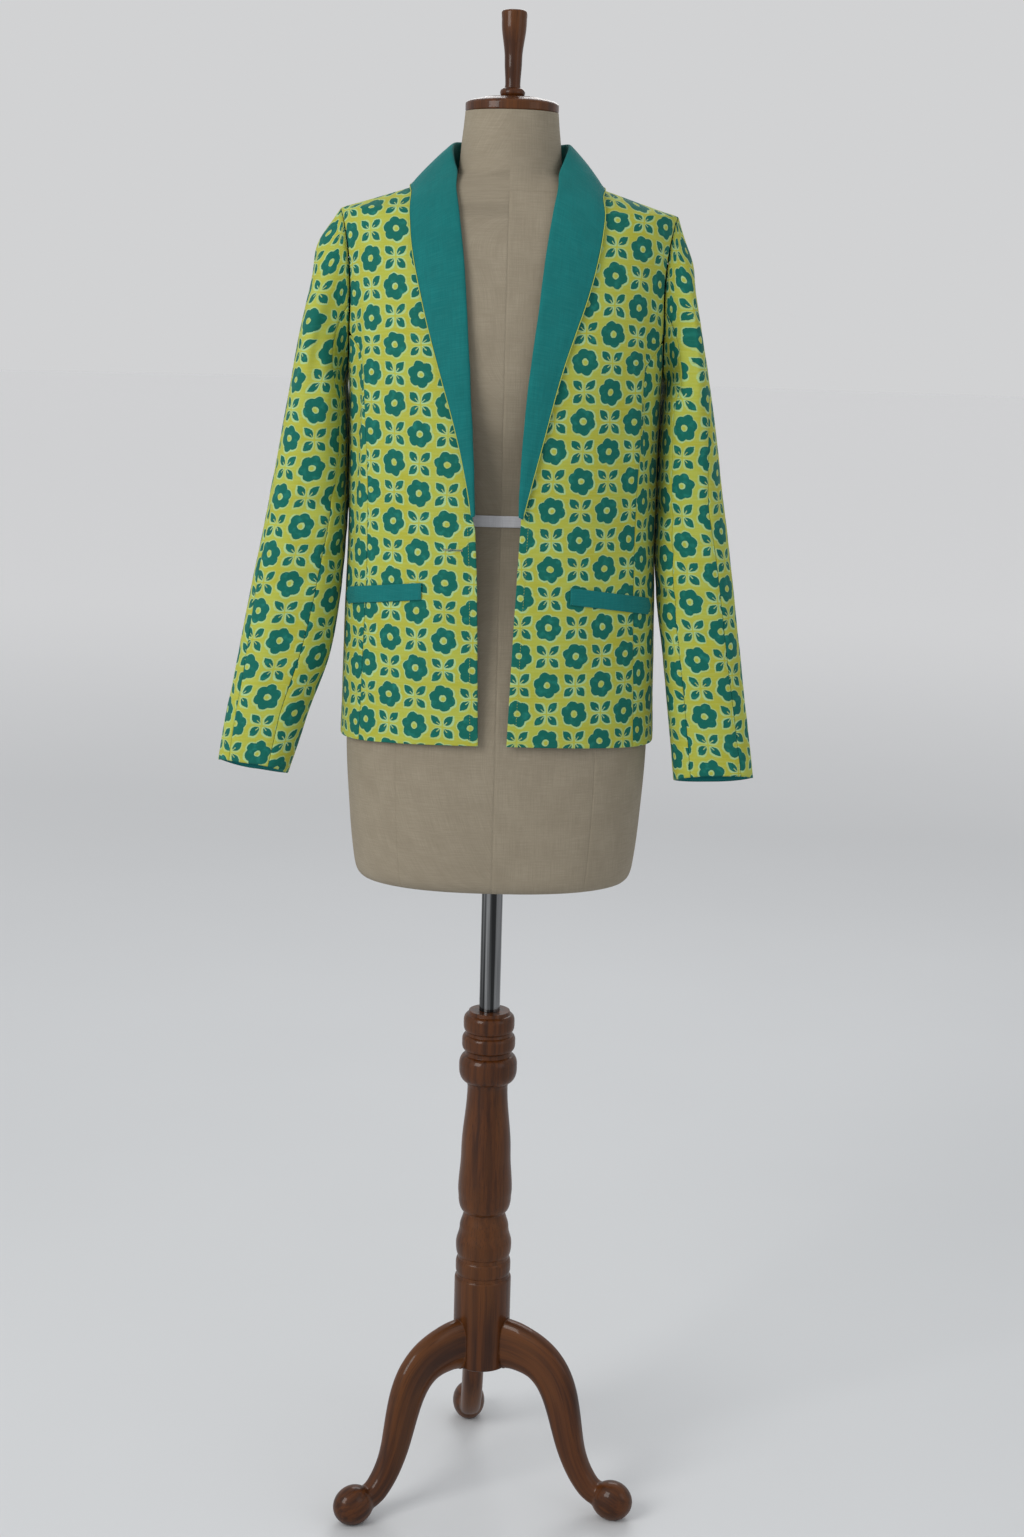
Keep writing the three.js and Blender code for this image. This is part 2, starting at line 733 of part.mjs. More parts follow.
function collarSection(collarCurve, index) {
  const [turnRoll, zRoll, turnEdge, zEdge] = neckColumns.map((name) => collarCurve[name](index));
  const neck = clamp((index - neckStart + 1.6) / 2.6, 0, 1);
  const rise = neck * neck * (3 - 2 * neck);
  const edgeLift = 3.2;
  const rollLift = lerp(4.4, 3.3, rise);
  const roll = cloth(turnRoll, zRoll, rollLift);
  const zFoot = Math.min(lerp(zRoll, neckline(turnRoll) + 3, rise), zRoll - 3 * rise);
  const foot = cloth(turnRoll, zFoot, lerp(1.1, 1.6, rise));
  const edge = cloth(turnEdge, zEdge, edgeLift);
  const middle = roll.clone().lerp(edge, 0.5);
  const bulge = outward(clothShape.at, turnEdge, zEdge).multiplyScalar(5 * rise);
  const control = middle.clone().add(bulge);
  const fall = (s) => {
    const onBody = cloth(lerp(turnRoll, turnEdge, s), lerp(zRoll, zEdge, s), lerp(rollLift, edgeLift, s) + 2.4 * s * (1 - s));
    const free = roll.clone().lerp(control, s).lerp(control.clone().lerp(edge, s), s);
    return onBody.lerp(free, rise);
  };
  const width = roll.distanceTo(edge);
  const round = clamp(6 / width, 0, 0.45);
  const stretch = foot.distanceTo(roll);
  const inner = roll.clone().lerp(foot, clamp(6 / stretch, 0, 0.6));
  const start = fall(round);
  const arc = (s) => inner.clone().lerp(roll, s).lerp(roll.clone().lerp(start, s), s);
  return [foot, ...[0, 0.25, 0.5, 0.75].map(arc), ...spread(5, (s) => fall(lerp(round, 1, s)))];
}

function gridNormal(grid, i, j) {
  const rows = grid.length;
  const columns = grid[0].length;
  const alongI = grid[Math.min(i + 1, rows - 1)][j].clone().sub(grid[Math.max(i - 1, 0)][j]);
  const alongJ = grid[i][Math.min(j + 1, columns - 1)].clone().sub(grid[i][Math.max(j - 1, 0)]);
  return alongI.cross(alongJ).normalize();
}

function collar(side) {
  const indices = spread(20, (s) => s * (lastStation - 0.006));
  const curves = collarCurves(sideName(side));
  const centre = indices.map((index) => collarSection(curves, index));
  const skin = (out) =>
    centre.map((row, i) =>
      row.map((point, j) => {
        const moved = point.clone().addScaledVector(gridNormal(centre, i, j), out);
        moved.x *= side;
        return moved;
      })
    );
  return sheet(skin(collarWall / 2), skin(-collarWall / 2));
}

add(blazer, "collar_left", collar(1), "teal");
add(blazer, "collar_right", collar(-1), "teal");

// Welts lie on the fronts and slope down to the sides
const welts = {
  welt_left: { side: 1, from: [79, 1137], to: [167, 1121] },
  welt_right: { side: -1, from: [86.5, 1138], to: [175, 1123] },
};

function welt({ side, from, to }) {
  const grid = (out) =>
    spread(2, (across) =>
      spread(10, (s) => {
        const z = lerp(from[1], to[1], s) + (across - 0.5) * weltHeight;
        const tuck = 6 * Math.abs(across - 0.5);
        const turn = lerp(turnAtWidth(from[0], z), turnAtWidth(to[0] - tuck, z), s);
        return cloth(side * turn, z, out);
      })
    );
  return sheet(grid(weltGap + weltWall), grid(weltGap));
}

Object.entries(welts).forEach(([name, place]) => add(blazer, name, welt(place), "teal"));

// Dress form: body, waist tape, neck cap and handle
const formColumns = 32;
const formTurns = Array.from({ length: formColumns }, (_, i) => (360 * i) / formColumns);
const tapeLevels = [waistLevel - tapeHeight / 2, waistLevel + tapeHeight / 2];
const middleLevels = formSections.flatMap((row, i) => {
  const next = formSections[i + 1];
  return next && next.z - row.z > 50 ? [(row.z + next.z) / 2] : [];
});
const formLevels = [...formSections.map((row) => row.z), ...middleLevels, ...tapeLevels];
formLevels.sort((a, b) => a - b);
const formRing = (z) => formTurns.map((turn) => formShape.at(turn, z));
add(stand, "form_body", loft(formLevels.map(formRing)), "cover");

const tapeRow = (z, out) => formTurns.map((turn) => formSurface(turn, z, out));
const tape = band(
  tapeLevels.map((z) => tapeRow(z, 1.8)),
  tapeLevels.map((z) => tapeRow(z, 0.8))
);
add(stand, "waist_tape", tape, "tape");

// A profile of turned work: rounds and hollows as arcs between a few named diameters
function profile(rows, steps = 4) {
  const points = [];
  rows.forEach((row, i) => {
    const next = rows[i + 1];
    points.push(new THREE.Vector2(row.diameter / 2, row.z));
    if (!next || row.run === "line") return;
    for (let k = 1; k < steps; k += 1) {
      const s = k / steps;
      const ease = (1 - Math.cos(Math.PI * s)) / 2;
      const across = row.run === "round" ? Math.sin((Math.PI * s) / 2) : ease;
      const along = row.run === "round" ? 1 - Math.cos((Math.PI * s) / 2) : s;
      const drop = row.run === "tuck" ? [1 - Math.cos((Math.PI * s) / 2), Math.sin((Math.PI * s) / 2)] : null;
      const [r, h] = drop ?? [across, along];
      points.push(new THREE.Vector2(lerp(row.diameter, next.diameter, r) / 2, lerp(row.z, next.z, h)));
    }
  });
  return points;
}

function turned(rows, segments, steps) {
  const points = profile(rows, steps);
  const closed = [new THREE.Vector2(0, points[0].y), ...points];
  closed.push(new THREE.Vector2(0, points[points.length - 1].y));
  const lathe = new THREE.LatheGeometry(closed, segments);
  lathe.rotateX(Math.PI / 2);
  const shape = toManifold(lathe);
  return fromManifold(shape);
}

const turnedColumns = ["z", "diameter", "run"];
const capProfile = table(turnedColumns, [
  [neckTop + 0.3, capDiameter - 1.5, "line"],
  [neckTop + 1.5, capDiameter, "line"],
  [neckTop + 8, capDiameter, "tuck"],
  [capTop - 3, 84, "ease"],
  [capTop, 62, "line"],
]);
const handleProfile = table(turnedColumns, [
  [capTop + 0.3, 20, "round"],
  [capTop + 5.5, 28, "tuck"],
  [capTop + 10.5, 18, "line"],
  [capTop + 14, 17, "ease"],
  [capTop + 40, 19.5, "ease"],
  [handleTop - 12, 28, "ease"],
  [handleTop - 3, 28.8, "tuck"],
  [handleTop, 21, "line"],
]);
const columnProfile = table(turnedColumns, [
  [columnBottom, blockDiameter - 6, "line"],
  [columnBottom + 3, blockDiameter, "line"],
  [276, blockDiameter, "tuck"],
  [280, 66, "line"],
  [284, 64.3, "round"],
  [290.5, 67.5, "line"],
  [296, 67.5, "tuck"],
  [303, 63, "line"],
  [307.5, 62.9, "round"],
  [322, 68.3, "ease"],
  [343, 60, "ease"],
  [364, 50.7, "round"],
  [383, 64.5, "line"],
  [391, 66, "ease"],
  [440, 60.5, "ease"],
  [524, 48.7, "line"],
  [530, 52, "round"],
  [546, 70.2, "line"],
  [552, 70.2, "tuck"],
  [564, 56, "line"],
  [569, 54, "round"],
  [577, 64.3, "line"],
  [583, 64.3, "tuck"],
  [589.5, 56, "line"],
  [593, 54, "round"],
  [601, 61.5, "line"],
  [607, 61.5, "tuck"],
  [615, 51, "line"],
  [columnTop, 49, "line"],
]);
add(stand, "neck_cap", turned(capProfile, 24, 2), "wood");
add(stand, "cap_handle", turned(handleProfile, 12, 2), "wood");
add(stand, "column", turned(columnProfile, 18, 2), "wood");

const poleLength = formBottom - columnTop - 0.6;
const pole = new THREE.CylinderGeometry(poleDiameter / 2, poleDiameter / 2, poleLength, 24);
pole.rotateX(Math.PI / 2);
pole.translate(0, 0, columnTop + 0.3 + poleLength / 2);
add(stand, "pole", mergeVertices(pole), "chrome");

// Cabriole leg: middle line and half height, in its own plane from the pole axis outwards
const legSections = table(["reach", "z", "half"], [
  [26, 196, 32.5],
  [42, 195.5, 31],
  [60, 192, 29],
  [79, 184, 27],
  [96, 168, 25],
  [107, 147, 23],
  [114, 124, 21],
  [119, 103, 19.3],
  [124, 83, 17.5],
  [130, 66, 16],
  [140, 47, 14.8],
  [154, 31, 14],
  [169, 24.5, 14],
]);

function leg(angle) {
  const count = 12;
  const rings = legSections.map((row, i) => {
    const before = legSections[Math.max(i - 1, 0)];
    const after = legSections[Math.min(i + 1, legSections.length - 1)];
    const way = new THREE.Vector2(after.reach - before.reach, after.z - before.z).normalize();
    return Array.from({ length: count }, (_, k) => {
      const a = (2 * Math.PI * k) / count;
      const power = 2 / 3;
      const up = row.half * Math.sign(Math.sin(a)) * Math.abs(Math.sin(a)) ** power;
      const out = (legThickness / 2) * Math.sign(Math.cos(a)) * Math.abs(Math.cos(a)) ** power;
      return new THREE.Vector3(row.reach - way.y * up, out, row.z + way.x * up);
    });
  });
  const ball = new THREE.SphereGeometry(footRadius, 14, 10);
  ball.rotateX(Math.PI / 2);
  ball.scale(1.06, 0.86, 1);
  ball.translate(legReach, 0, footRadius - footSink);
  const floor = new THREE.BoxGeometry(600, 600, 100).translate(0, 0, -50);
  const socket = new THREE.CylinderGeometry(blockDiameter / 2 + 0.3, blockDiameter / 2 + 0.3, 400, 40);
  socket.rotateX(Math.PI / 2);
  socket.translate(0, 0, 200);
  const whole = toManifold(loft(rings)).add(toManifold(ball));
  const cut = whole.subtract(toManifold(floor)).subtract(toManifold(socket));
  const geometry = fromManifold(cut);
  geometry.rotateZ(rad(angle));
  return geometry;
}

Object.entries(legAngles).forEach(([name, angle]) => add(stand, name, leg(angle), "wood"));

const part = new THREE.Group();
part.add(stand, blazer);
part.position.set(poleX, poleY, 0);

export default part;
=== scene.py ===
# %% [markdown]
# # An open blazer on a dress form and tripod stand
# A lined cotton blazer hangs open on a padded form. The form stands on a tube in a turned column
# with three legs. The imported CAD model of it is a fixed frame. The cells below lay finer cloth,
# covers and turned wood on the same sections, then give every surface a procedural material.
# Sections are in millimetres about the pole's axis, because the real thing is centred on it. The
# last step of each mesh puts it in the row frame, in metres.

# %% Load the frame
import json
import math

import bpy
import numpy as np
from mathutils import Matrix, Vector

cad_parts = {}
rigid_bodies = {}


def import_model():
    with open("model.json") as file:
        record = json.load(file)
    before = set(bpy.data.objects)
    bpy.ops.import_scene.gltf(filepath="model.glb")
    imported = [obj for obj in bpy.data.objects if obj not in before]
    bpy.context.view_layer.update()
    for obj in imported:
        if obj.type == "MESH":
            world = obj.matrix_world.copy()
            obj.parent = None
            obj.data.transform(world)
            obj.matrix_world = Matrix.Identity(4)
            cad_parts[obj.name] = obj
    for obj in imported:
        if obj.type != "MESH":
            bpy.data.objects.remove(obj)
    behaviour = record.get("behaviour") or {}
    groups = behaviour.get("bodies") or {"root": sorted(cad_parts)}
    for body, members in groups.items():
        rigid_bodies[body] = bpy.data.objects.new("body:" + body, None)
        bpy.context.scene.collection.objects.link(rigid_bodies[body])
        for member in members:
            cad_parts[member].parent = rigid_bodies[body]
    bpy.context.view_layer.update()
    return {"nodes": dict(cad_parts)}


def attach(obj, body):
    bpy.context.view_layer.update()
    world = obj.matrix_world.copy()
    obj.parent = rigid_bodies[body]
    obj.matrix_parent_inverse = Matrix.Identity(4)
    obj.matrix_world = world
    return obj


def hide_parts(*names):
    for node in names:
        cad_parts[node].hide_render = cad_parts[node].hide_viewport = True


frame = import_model()
scene = bpy.context.scene
POLE = np.array([11.5, -32.5, 0.0])  # the pole's axis in the row frame, mm
print("CAD nodes:", len(frame["nodes"]))

# %% [markdown]
# ## Camera
# It stands 2.72 m in front of the pole and 1.46 m up. It looks down by 11.3 degrees, and it is
# rolled by a degree and a half. Its place was fitted to the feet on the floor and to the curves of
# the cap and the hems, so that every width and height could be read through it.

# %% Set the camera
SENSOR, FOCAL_PIXELS, PHOTO_HEIGHT = 36, 2350, 1537
CAMERA_AT, TILT_DOWN, ROLL = (0.0309, -2.7535, 1.460), 11.3, 1.526


def add_object(name, data):
    item = bpy.data.objects.new(name, data)
    scene.collection.objects.link(item)
    return item


camera = add_object("camera", bpy.data.cameras.new("camera"))
camera.data.sensor_fit = "VERTICAL"
camera.data.sensor_height = SENSOR
camera.data.lens = FOCAL_PIXELS / PHOTO_HEIGHT * SENSOR
camera.data.clip_end = 200
tilt = Matrix.Rotation(math.radians(90 - TILT_DOWN), 4, "X")
roll = Matrix.Rotation(math.radians(ROLL), 4, "Z")
camera.matrix_world = Matrix.Translation(CAMERA_AT) @ tilt @ roll
scene.camera = camera
print("camera at", [round(v, 3) for v in camera.location])

# %% [markdown]
# ## Curves and sections
# Body, form and sleeves change smoothly with height, so each is drawn from a table whose rows are
# horizontal sections. A monotone cubic runs through the rows, so a section never bulges between
# them. A turn of 0 is the front and 90 is the wearer's left.

# %% Curve helpers
def smooth_curve(x, y):
    """A monotone cubic through the points, in any order of x."""
    order = np.argsort(x)
    x, y = np.array(x, float)[order], np.array(y, float)[order]
    slope = np.diff(y) / np.diff(x)
    tangent = np.empty(len(x))
    tangent[0], tangent[-1] = slope[0], slope[-1]
    a, b = slope[:-1], slope[1:]
    total = np.where(np.abs(a + b) < 1e-12, 1, a + b)
    tangent[1:-1] = np.where(a * b > 0, 2 * a * b / total, 0)

    def at(value):
        v = np.clip(value, x[0], x[-1])
        i = np.clip(np.searchsorted(x, v, "left") - 1, 0, len(x) - 2)
        width = x[i + 1] - x[i]
        s = (v - x[i]) / width
        rise, bend = s * s * (3 - 2 * s), s * (1 - s) * width
        return y[i] + (y[i + 1] - y[i]) * rise + bend * ((1 - s) * tangent[i] - s * tangent[i + 1])

    return at


def curves_of(rows):
    """One smooth curve for each later column of a table, over its first column."""
    x, *columns = zip(*rows)
    return [smooth_curve(x, column) for column in columns]


def numbered(rows):
    return [(i, *row) for i, row in enumerate(rows)]


def lerp(a, b, s):
    return a + (b - a) * s


def smooth_step(s):
    s = np.clip(s, 0, 1)
    return s * s * (3 - 2 * s)


def unit(v):
    return v / np.maximum(np.linalg.norm(v, axis=-1, keepdims=True), 1e-9)


def power(value, exponent):
    """A power that keeps the sign."""
    return np.sign(value) * np.abs(value) ** exponent


def wrapped(angle):
    """An angle between -180 and 180 degrees."""
    return (angle + 180) % 360 - 180


def distance_run(points, axis):
    """How far each point of a line or grid lies along that axis, from zero."""
    steps = np.linalg.norm(np.diff(points, axis=axis), axis=-1)
    start = np.zeros_like(np.take(steps, [0], axis))
    return np.concatenate([start, np.cumsum(steps, axis=axis)], axis=axis)


print("a curve through 0, 1 and 4 has", float(smooth_curve([0, 1, 2], [0, 1, 4])(1)), "in its middle")

# %% [markdown]
# A padded form is neither round nor square in section, and neither is a coat on it. A superellipse
# with its own depth in front and behind follows both closely, with four numbers to a height.

# %% Sections of the form and the blazer
class Sections:
    """Superellipses by height: half width, depth in front and behind, squareness."""

    def __init__(self, rows):
        self.half, self.front, self.back, self.square = curves_of(rows)

    def at(self, turn, z):
        turn, z = np.broadcast_arrays(np.asarray(turn, float), np.asarray(z, float))
        s, c = np.sin(np.radians(turn)), np.cos(np.radians(turn))
        e = 2 / self.square(z)
        depth = np.where(c > 0, self.front(z), self.back(z))
        return np.stack([self.half(z) * power(s, e), -depth * power(c, e), z], -1)

    def normal(self, turn, z):
        return outward(self.at, turn, z, NORMAL_STEP, NORMAL_STEP)


def outward(at, u, v, du, dv):
    """The normal of a surface at(u, v), from small steps to each side."""
    along_u = at(u + du, v) - at(u - du, v)
    along_v = at(u, v + dv) - at(u, v - dv)
    return unit(np.cross(along_u, along_v))


NORMAL_STEP = 0.6  # degrees and millimetres
# Height, half width, depth in front, depth behind, squareness of the form and of the cloth
FORM_ROWS = [
    (789, 151, 102, 102, 2.4), (791, 157.5, 108, 108, 2.4), (796.5, 162, 112.5, 112.5, 2.4),
    (805, 164.5, 115, 115, 2.4), (864, 171, 118, 119, 2.4), (958, 176, 119, 122, 2.35),
    (1010, 173, 116, 121, 2.3), (1080, 160, 108, 116, 2.25), (1160, 137, 97, 104, 2.2),
    (1216, 121, 91, 92, 2.2), (1280, 127, 100, 96, 2.2), (1330, 141, 115, 105, 2.2),
    (1375, 150, 122, 113, 2.25), (1430, 154, 116, 118, 2.3), (1470, 160, 106, 117, 2.3),
    (1500, 168, 98, 112, 2.3), (1530, 176, 87, 101.5, 2.25), (1546, 178, 80, 93, 2.1),
    (1553, 175.5, 76, 88.5, 2), (1561.6, 163, 72, 85, 1.9), (1570.8, 134, 68, 80.5, 1.9),
    (1577.8, 112, 65.5, 75.5, 1.9), (1584.6, 88, 63.2, 70, 1.95), (1591, 69, 61, 65.5, 2),
    (1598, 59.5, 59, 62, 2), (1612, 57.3, 57, 58.5, 2), (1630, 55.8, 55.4, 56, 2),
    (1650, 53.6, 53.4, 53.6, 2), (1664, 52.3, 52.3, 52.3, 2),
]
CLOTH_ROWS = [
    (950, 183, 128, 130, 2.3), (1050, 181, 129, 127, 2.3), (1115, 179.5, 129, 122, 2.3),
    (1200, 177, 128, 114, 2.3), (1290, 177, 130, 116, 2.3), (1375, 178.5, 131, 121, 2.3),
    (1430, 181.5, 122, 124, 2.3), (1470, 183.5, 111, 122, 2.3), (1500, 185.5, 102, 117, 2.3),
    (1530, 188.2, 91, 106, 2.25), (1546, 189.8, 84, 98, 2.1), (1555, 190.5, 79.5, 92.5, 2),
    (1559, 178, 77, 90, 1.9), (1566, 156, 73, 86, 1.9), (1573, 134, 70.3, 82.5, 1.9),
    (1580, 112, 67.8, 77.5, 1.9), (1587, 88, 65.6, 72.6, 1.95), (1594, 71, 63.8, 68.6, 2),
    (1602, 64.5, 62.3, 65.5, 2), (1618, 62.5, 60.5, 63, 2), (1640, 61, 59, 61.5, 2),
]
form = Sections(FORM_ROWS)
torso = Sections(CLOTH_ROWS)
print("chest half width", round(float(torso.half(1375)), 1), "mm")

# %% [markdown]
# Cotton on a form hangs in soft upright folds, beside the armholes and over the waist. Each fold is
# a smooth rise or hollow of the blazer's outer surface, and every piece of the body lies on it.

# %% The blazer's surface
# Turn, middle height, degrees wide, millimetres tall, depth, lean
BODY_FOLDS = [
    (-67, 1330, 5, 95, -4.5, 0.02), (-59, 1300, 6, 110, 3, 0.02), (-40, 1240, 9, 90, -2, -0.03),
    (63, 1350, 5, 80, -4.5, -0.03), (55, 1310, 6, 100, 3, -0.03), (74, 1240, 5, 80, -3, 0),
    (38, 1120, 9, 90, -2, 0.02), (128, 1290, 9, 110, 3, 0.02), (232, 1270, 9, 120, 3, -0.02),
    (160, 1180, 8, 90, -2.5, 0), (198, 1200, 8, 100, 2.5, 0),
]


def fold_depth(turn, z):
    total = np.zeros(np.broadcast(turn, z).shape)
    for at, height, wide, tall, depth, lean in BODY_FOLDS:
        off = wrapped(turn - at - lean * (z - height))
        total = total + depth * np.exp(-((off / wide) ** 2) - ((z - height) / tall) ** 2)
    return total


def cloth(turn, z, out=0.0):
    """The blazer's outer surface, moved out along its normal."""
    lift = fold_depth(turn, z) + out
    return torso.at(turn, z) + torso.normal(turn, z) * np.asarray(lift)[..., None]


def turn_at_width(x, z):
    """The turn on the wearer's left at which the section is that far from the middle."""
    return np.degrees(np.arcsin(np.clip(x / torso.half(z), 0, 1) ** (torso.square(z) / 2)))


def turn_at_depth(y, z):
    """The same, for a distance in front of the pole's axis (negative) or behind it."""
    depth = np.where(y < 0, torso.front(z), torso.back(z))
    side = np.degrees(np.arcsin(np.clip(np.abs(y) / depth, 0, 1) ** (torso.square(z) / 2)))
    return np.where(y < 0, 90 - side, 90 + side)


def degree_length(section, turn, z):
    """Millimetres to one degree of turn."""
    return np.linalg.norm(section.at(turn + 0.5, z) - section.at(turn - 0.5, z), axis=-1)


def shift_turn(turn, z, distance):
    """A turn moved along the section by some millimetres."""
    return turn + distance / np.maximum(degree_length(torso, turn, z), 0.2)


print("folds of the body:", len(BODY_FOLDS))

# %% [markdown]
# ## Mesh builders
# Real pieces are cut flat, sewn and lined. Here a piece of cloth is a thin shell: an outer and an
# inner grid, joined round a softened rim, so that its two faces can have their own cloth. Its UV
# map is the flat cloth, one unit to 100 mm, so that the print keeps its scale and breaks at seams.

# %% Mesh builders
UV_UNIT = 100  # millimetres of cloth


def add_piece(name, mesh):
    piece = add_object(name, mesh)
    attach(piece, "root")
    return piece


def new_mesh(name, points, faces, materials, slots=None, uv=None, grain=None):
    mesh = bpy.data.meshes.new(name)
    placed = (np.asarray(points) + POLE) / 1000
    mesh.from_pydata(placed.tolist(), [], [list(map(int, face)) for face in faces])
    for material in materials:
        mesh.materials.append(material)
    mesh.polygons.foreach_set("use_smooth", [True] * len(mesh.polygons))
    if slots is not None:
        mesh.polygons.foreach_set("material_index", np.asarray(slots, np.int32))
    corner = np.zeros(len(mesh.loops), np.int32)
    mesh.loops.foreach_get("vertex_index", corner)
    if uv is not None:
        layer = mesh.uv_layers.new(name="cloth")
        layer.data.foreach_set("uv", (np.asarray(uv)[corner] / UV_UNIT).astype(np.float32).ravel())
    if grain is not None:
        attribute = mesh.attributes.new("grain", "FLOAT_VECTOR", "POINT")
        attribute.data.foreach_set("vector", (np.asarray(grain) / 1000).astype(np.float32).ravel())
    mesh.update()
    return add_piece(name, mesh)


def grid_faces(rows, columns, offset=0, flip=False, closed=False):
    i, j = np.meshgrid(np.arange(rows - 1), np.arange(columns - (not closed)), indexing="ij")
    k = (j + 1) % columns
    low, high = i * columns, (i + 1) * columns
    quads = np.stack([low + j, low + k, high + k, high + j], -1).reshape(-1, 4) + offset
    return quads[:, ::-1] if flip else quads


def capped_faces(rows, columns, offset=0, flip=False):
    """A closed grid and a fan of triangles at each end, to two hub points that follow the grid."""
    j = np.arange(columns)
    k = (j + 1) % columns
    hub, last = rows * columns, (rows - 1) * columns
    first_fan = np.stack([np.full(columns, hub), k, j], -1)
    last_fan = np.stack([np.full(columns, hub + 1), last + j, last + k], -1)
    fans = np.concatenate([first_fan, last_fan]) + offset
    fans = fans[:, [0, 2, 1]] if flip else fans
    return grid_faces(rows, columns, offset, flip, True).tolist() + fans.tolist()


def facing_out(points, faces):
    """The faces, turned round if they enclose a negative volume."""
    a, b, c, d = (points[faces[:, k]] for k in range(4))
    volume = np.einsum("ij,ij->", a, np.cross(b, c)) + np.einsum("ij,ij->", a, np.cross(c, d))
    return faces if volume > 0 else faces[:, ::-1]


def shell(name, surface, shape, uv, materials, thickness, rim=0.4):
    """A wall under the grid that surface(out) gives, with a softened rim."""
    rows, columns = shape
    inset = np.zeros(shape)
    inset[[0, -1]] = rim
    inset[:, [0, -1]] = rim
    walls = (surface(-inset), surface(inset - thickness))
    points = np.concatenate([wall.reshape(-1, 3) for wall in walls])
    size = rows * columns
    edge = np.concatenate([
        np.arange(columns - 1),
        np.arange(rows - 1) * columns + columns - 1,
        np.arange(columns - 1, 0, -1) + (rows - 1) * columns,
        np.arange(rows - 1, 0, -1) * columns,
    ])
    after = np.roll(edge, -1)
    outer, inner = grid_faces(rows, columns), grid_faces(rows, columns, size, True)
    around = np.stack([edge, edge + size, after + size, after], -1)
    faces = facing_out(points, np.concatenate([outer, inner, around]))
    slots = np.repeat([0, 1, 0], [len(outer), len(inner), len(around)])
    flat = np.tile(uv.reshape(-1, 2), (2, 1))
    return new_mesh(name, points, faces, materials, slots, flat)


def ring_band(name, outer, inner, flat, material):
    """A closed strip: an outer and an inner ring of points, joined along both edges."""
    rows, columns = outer.shape[:2]
    points = np.concatenate([outer.reshape(-1, 3), inner.reshape(-1, 3)])
    size, top = rows * columns, (rows - 1) * columns
    j = np.arange(columns)
    k = (j + 1) % columns
    faces = np.concatenate([
        grid_faces(rows, columns, 0, False, True),
        grid_faces(rows, columns, size, True, True),
        np.stack([j, j + size, k + size, k], -1),
        np.stack([top + j, top + k, top + size + k, top + size + j], -1),
    ])
    uv = np.tile(flat.reshape(-1, 2), (2, 1))
    return new_mesh(name, points, facing_out(points, faces), [material], uv=uv)


print("mesh builders ready")

# %% [markdown]
# Worn cotton is never quite flat. It has long soft waves, and small gathers beside each seam, where
# the thread draws the cloth in. Piping and thick thread are made as thin tubes along a line.

# %% Ripples, puckers and thin lines
def ripple(u, v, seed, length, count=7):
    """Soft uneven waves of about that length, between -1 and 1, the same on every run."""
    rng = np.random.default_rng(seed)
    total = 0
    for _ in range(count):
        way, phase, size = rng.uniform(0, math.tau), rng.uniform(0, math.tau), rng.uniform(0.6, 1.7)
        along = u * math.cos(way) + v * math.sin(way)
        total = total + np.sin(math.tau * along / (length * size) + phase)
    return total / count


def seam_pucker(distance, along, seed):
    """Small gathers that die out a few millimetres from a sewn edge."""
    return 0.28 * np.exp(-distance / 5) * ripple(along, along * 0.3, seed, 11)


def tube(name, path, radius, material, sides=6):
    """A thin round line through the points, closed at its ends."""
    path = np.asarray(path, float)
    way = unit(np.gradient(path, axis=0))
    side = unit(np.cross(way, (0.31, 0.17, 0.93)))
    up = np.cross(way, side)
    a = np.linspace(0, math.tau, sides, endpoint=False)[None, :, None]
    rings = path[:, None] + radius * (np.cos(a) * side[:, None] + np.sin(a) * up[:, None])
    points = np.concatenate([rings.reshape(-1, 3), path[[0, -1]]])
    return new_mesh(name, points, capped_faces(len(path), sides), [material])


print("a ripple at one point:", round(float(ripple(10.0, 20.0, 1, 90)), 3))

# %% [markdown]
# ## Materials
# The real cloth is block printed: a carved block presses ink on woven cotton, a cell at a time. So
# the print is built as a distance to the ink's edge, which can be roughened, given a pale halo and
# filled unevenly. Every cloth has a woven bump of warp and weft.

# %% Node helpers
def put(tree, kind, inputs=None, **settings):
    """A new node; an input is linked when it is a socket and set when it is a value."""
    node = tree.nodes.new(kind)
    for key, value in settings.items():
        setattr(node, key, value)
    for key, value in (inputs or {}).items():
        if isinstance(value, bpy.types.NodeSocket):
            tree.links.new(value, node.inputs[key])
        else:
            node.inputs[key].default_value = value
    return node


def calc(tree, operation, *values):
    return put(tree, "ShaderNodeMath", dict(enumerate(values)), operation=operation).outputs[0]


def ease(tree, value, low, high, to_low=0.0, to_high=1.0):
    inputs = {0: value, 1: low, 2: high, 3: to_low, 4: to_high}
    return put(tree, "ShaderNodeMapRange", inputs, interpolation_type="SMOOTHSTEP").outputs[0]


def blend_color(tree, factor, a, b):
    inputs = {0: factor, 6: a, 7: b}
    return put(tree, "ShaderNodeMix", inputs, data_type="RGBA").outputs[2]


def times(tree, vector, factors):
    inputs = {0: vector, 1: factors}
    return put(tree, "ShaderNodeVectorMath", inputs, operation="MULTIPLY").outputs[0]


def noise(tree, vector, scale, detail=2.0, stretch=(1, 1, 1), color=False):
    inputs = {"Vector": times(tree, vector, stretch), "Scale": scale, "Detail": detail}
    return put(tree, "ShaderNodeTexNoise", inputs).outputs[1 if color else 0]


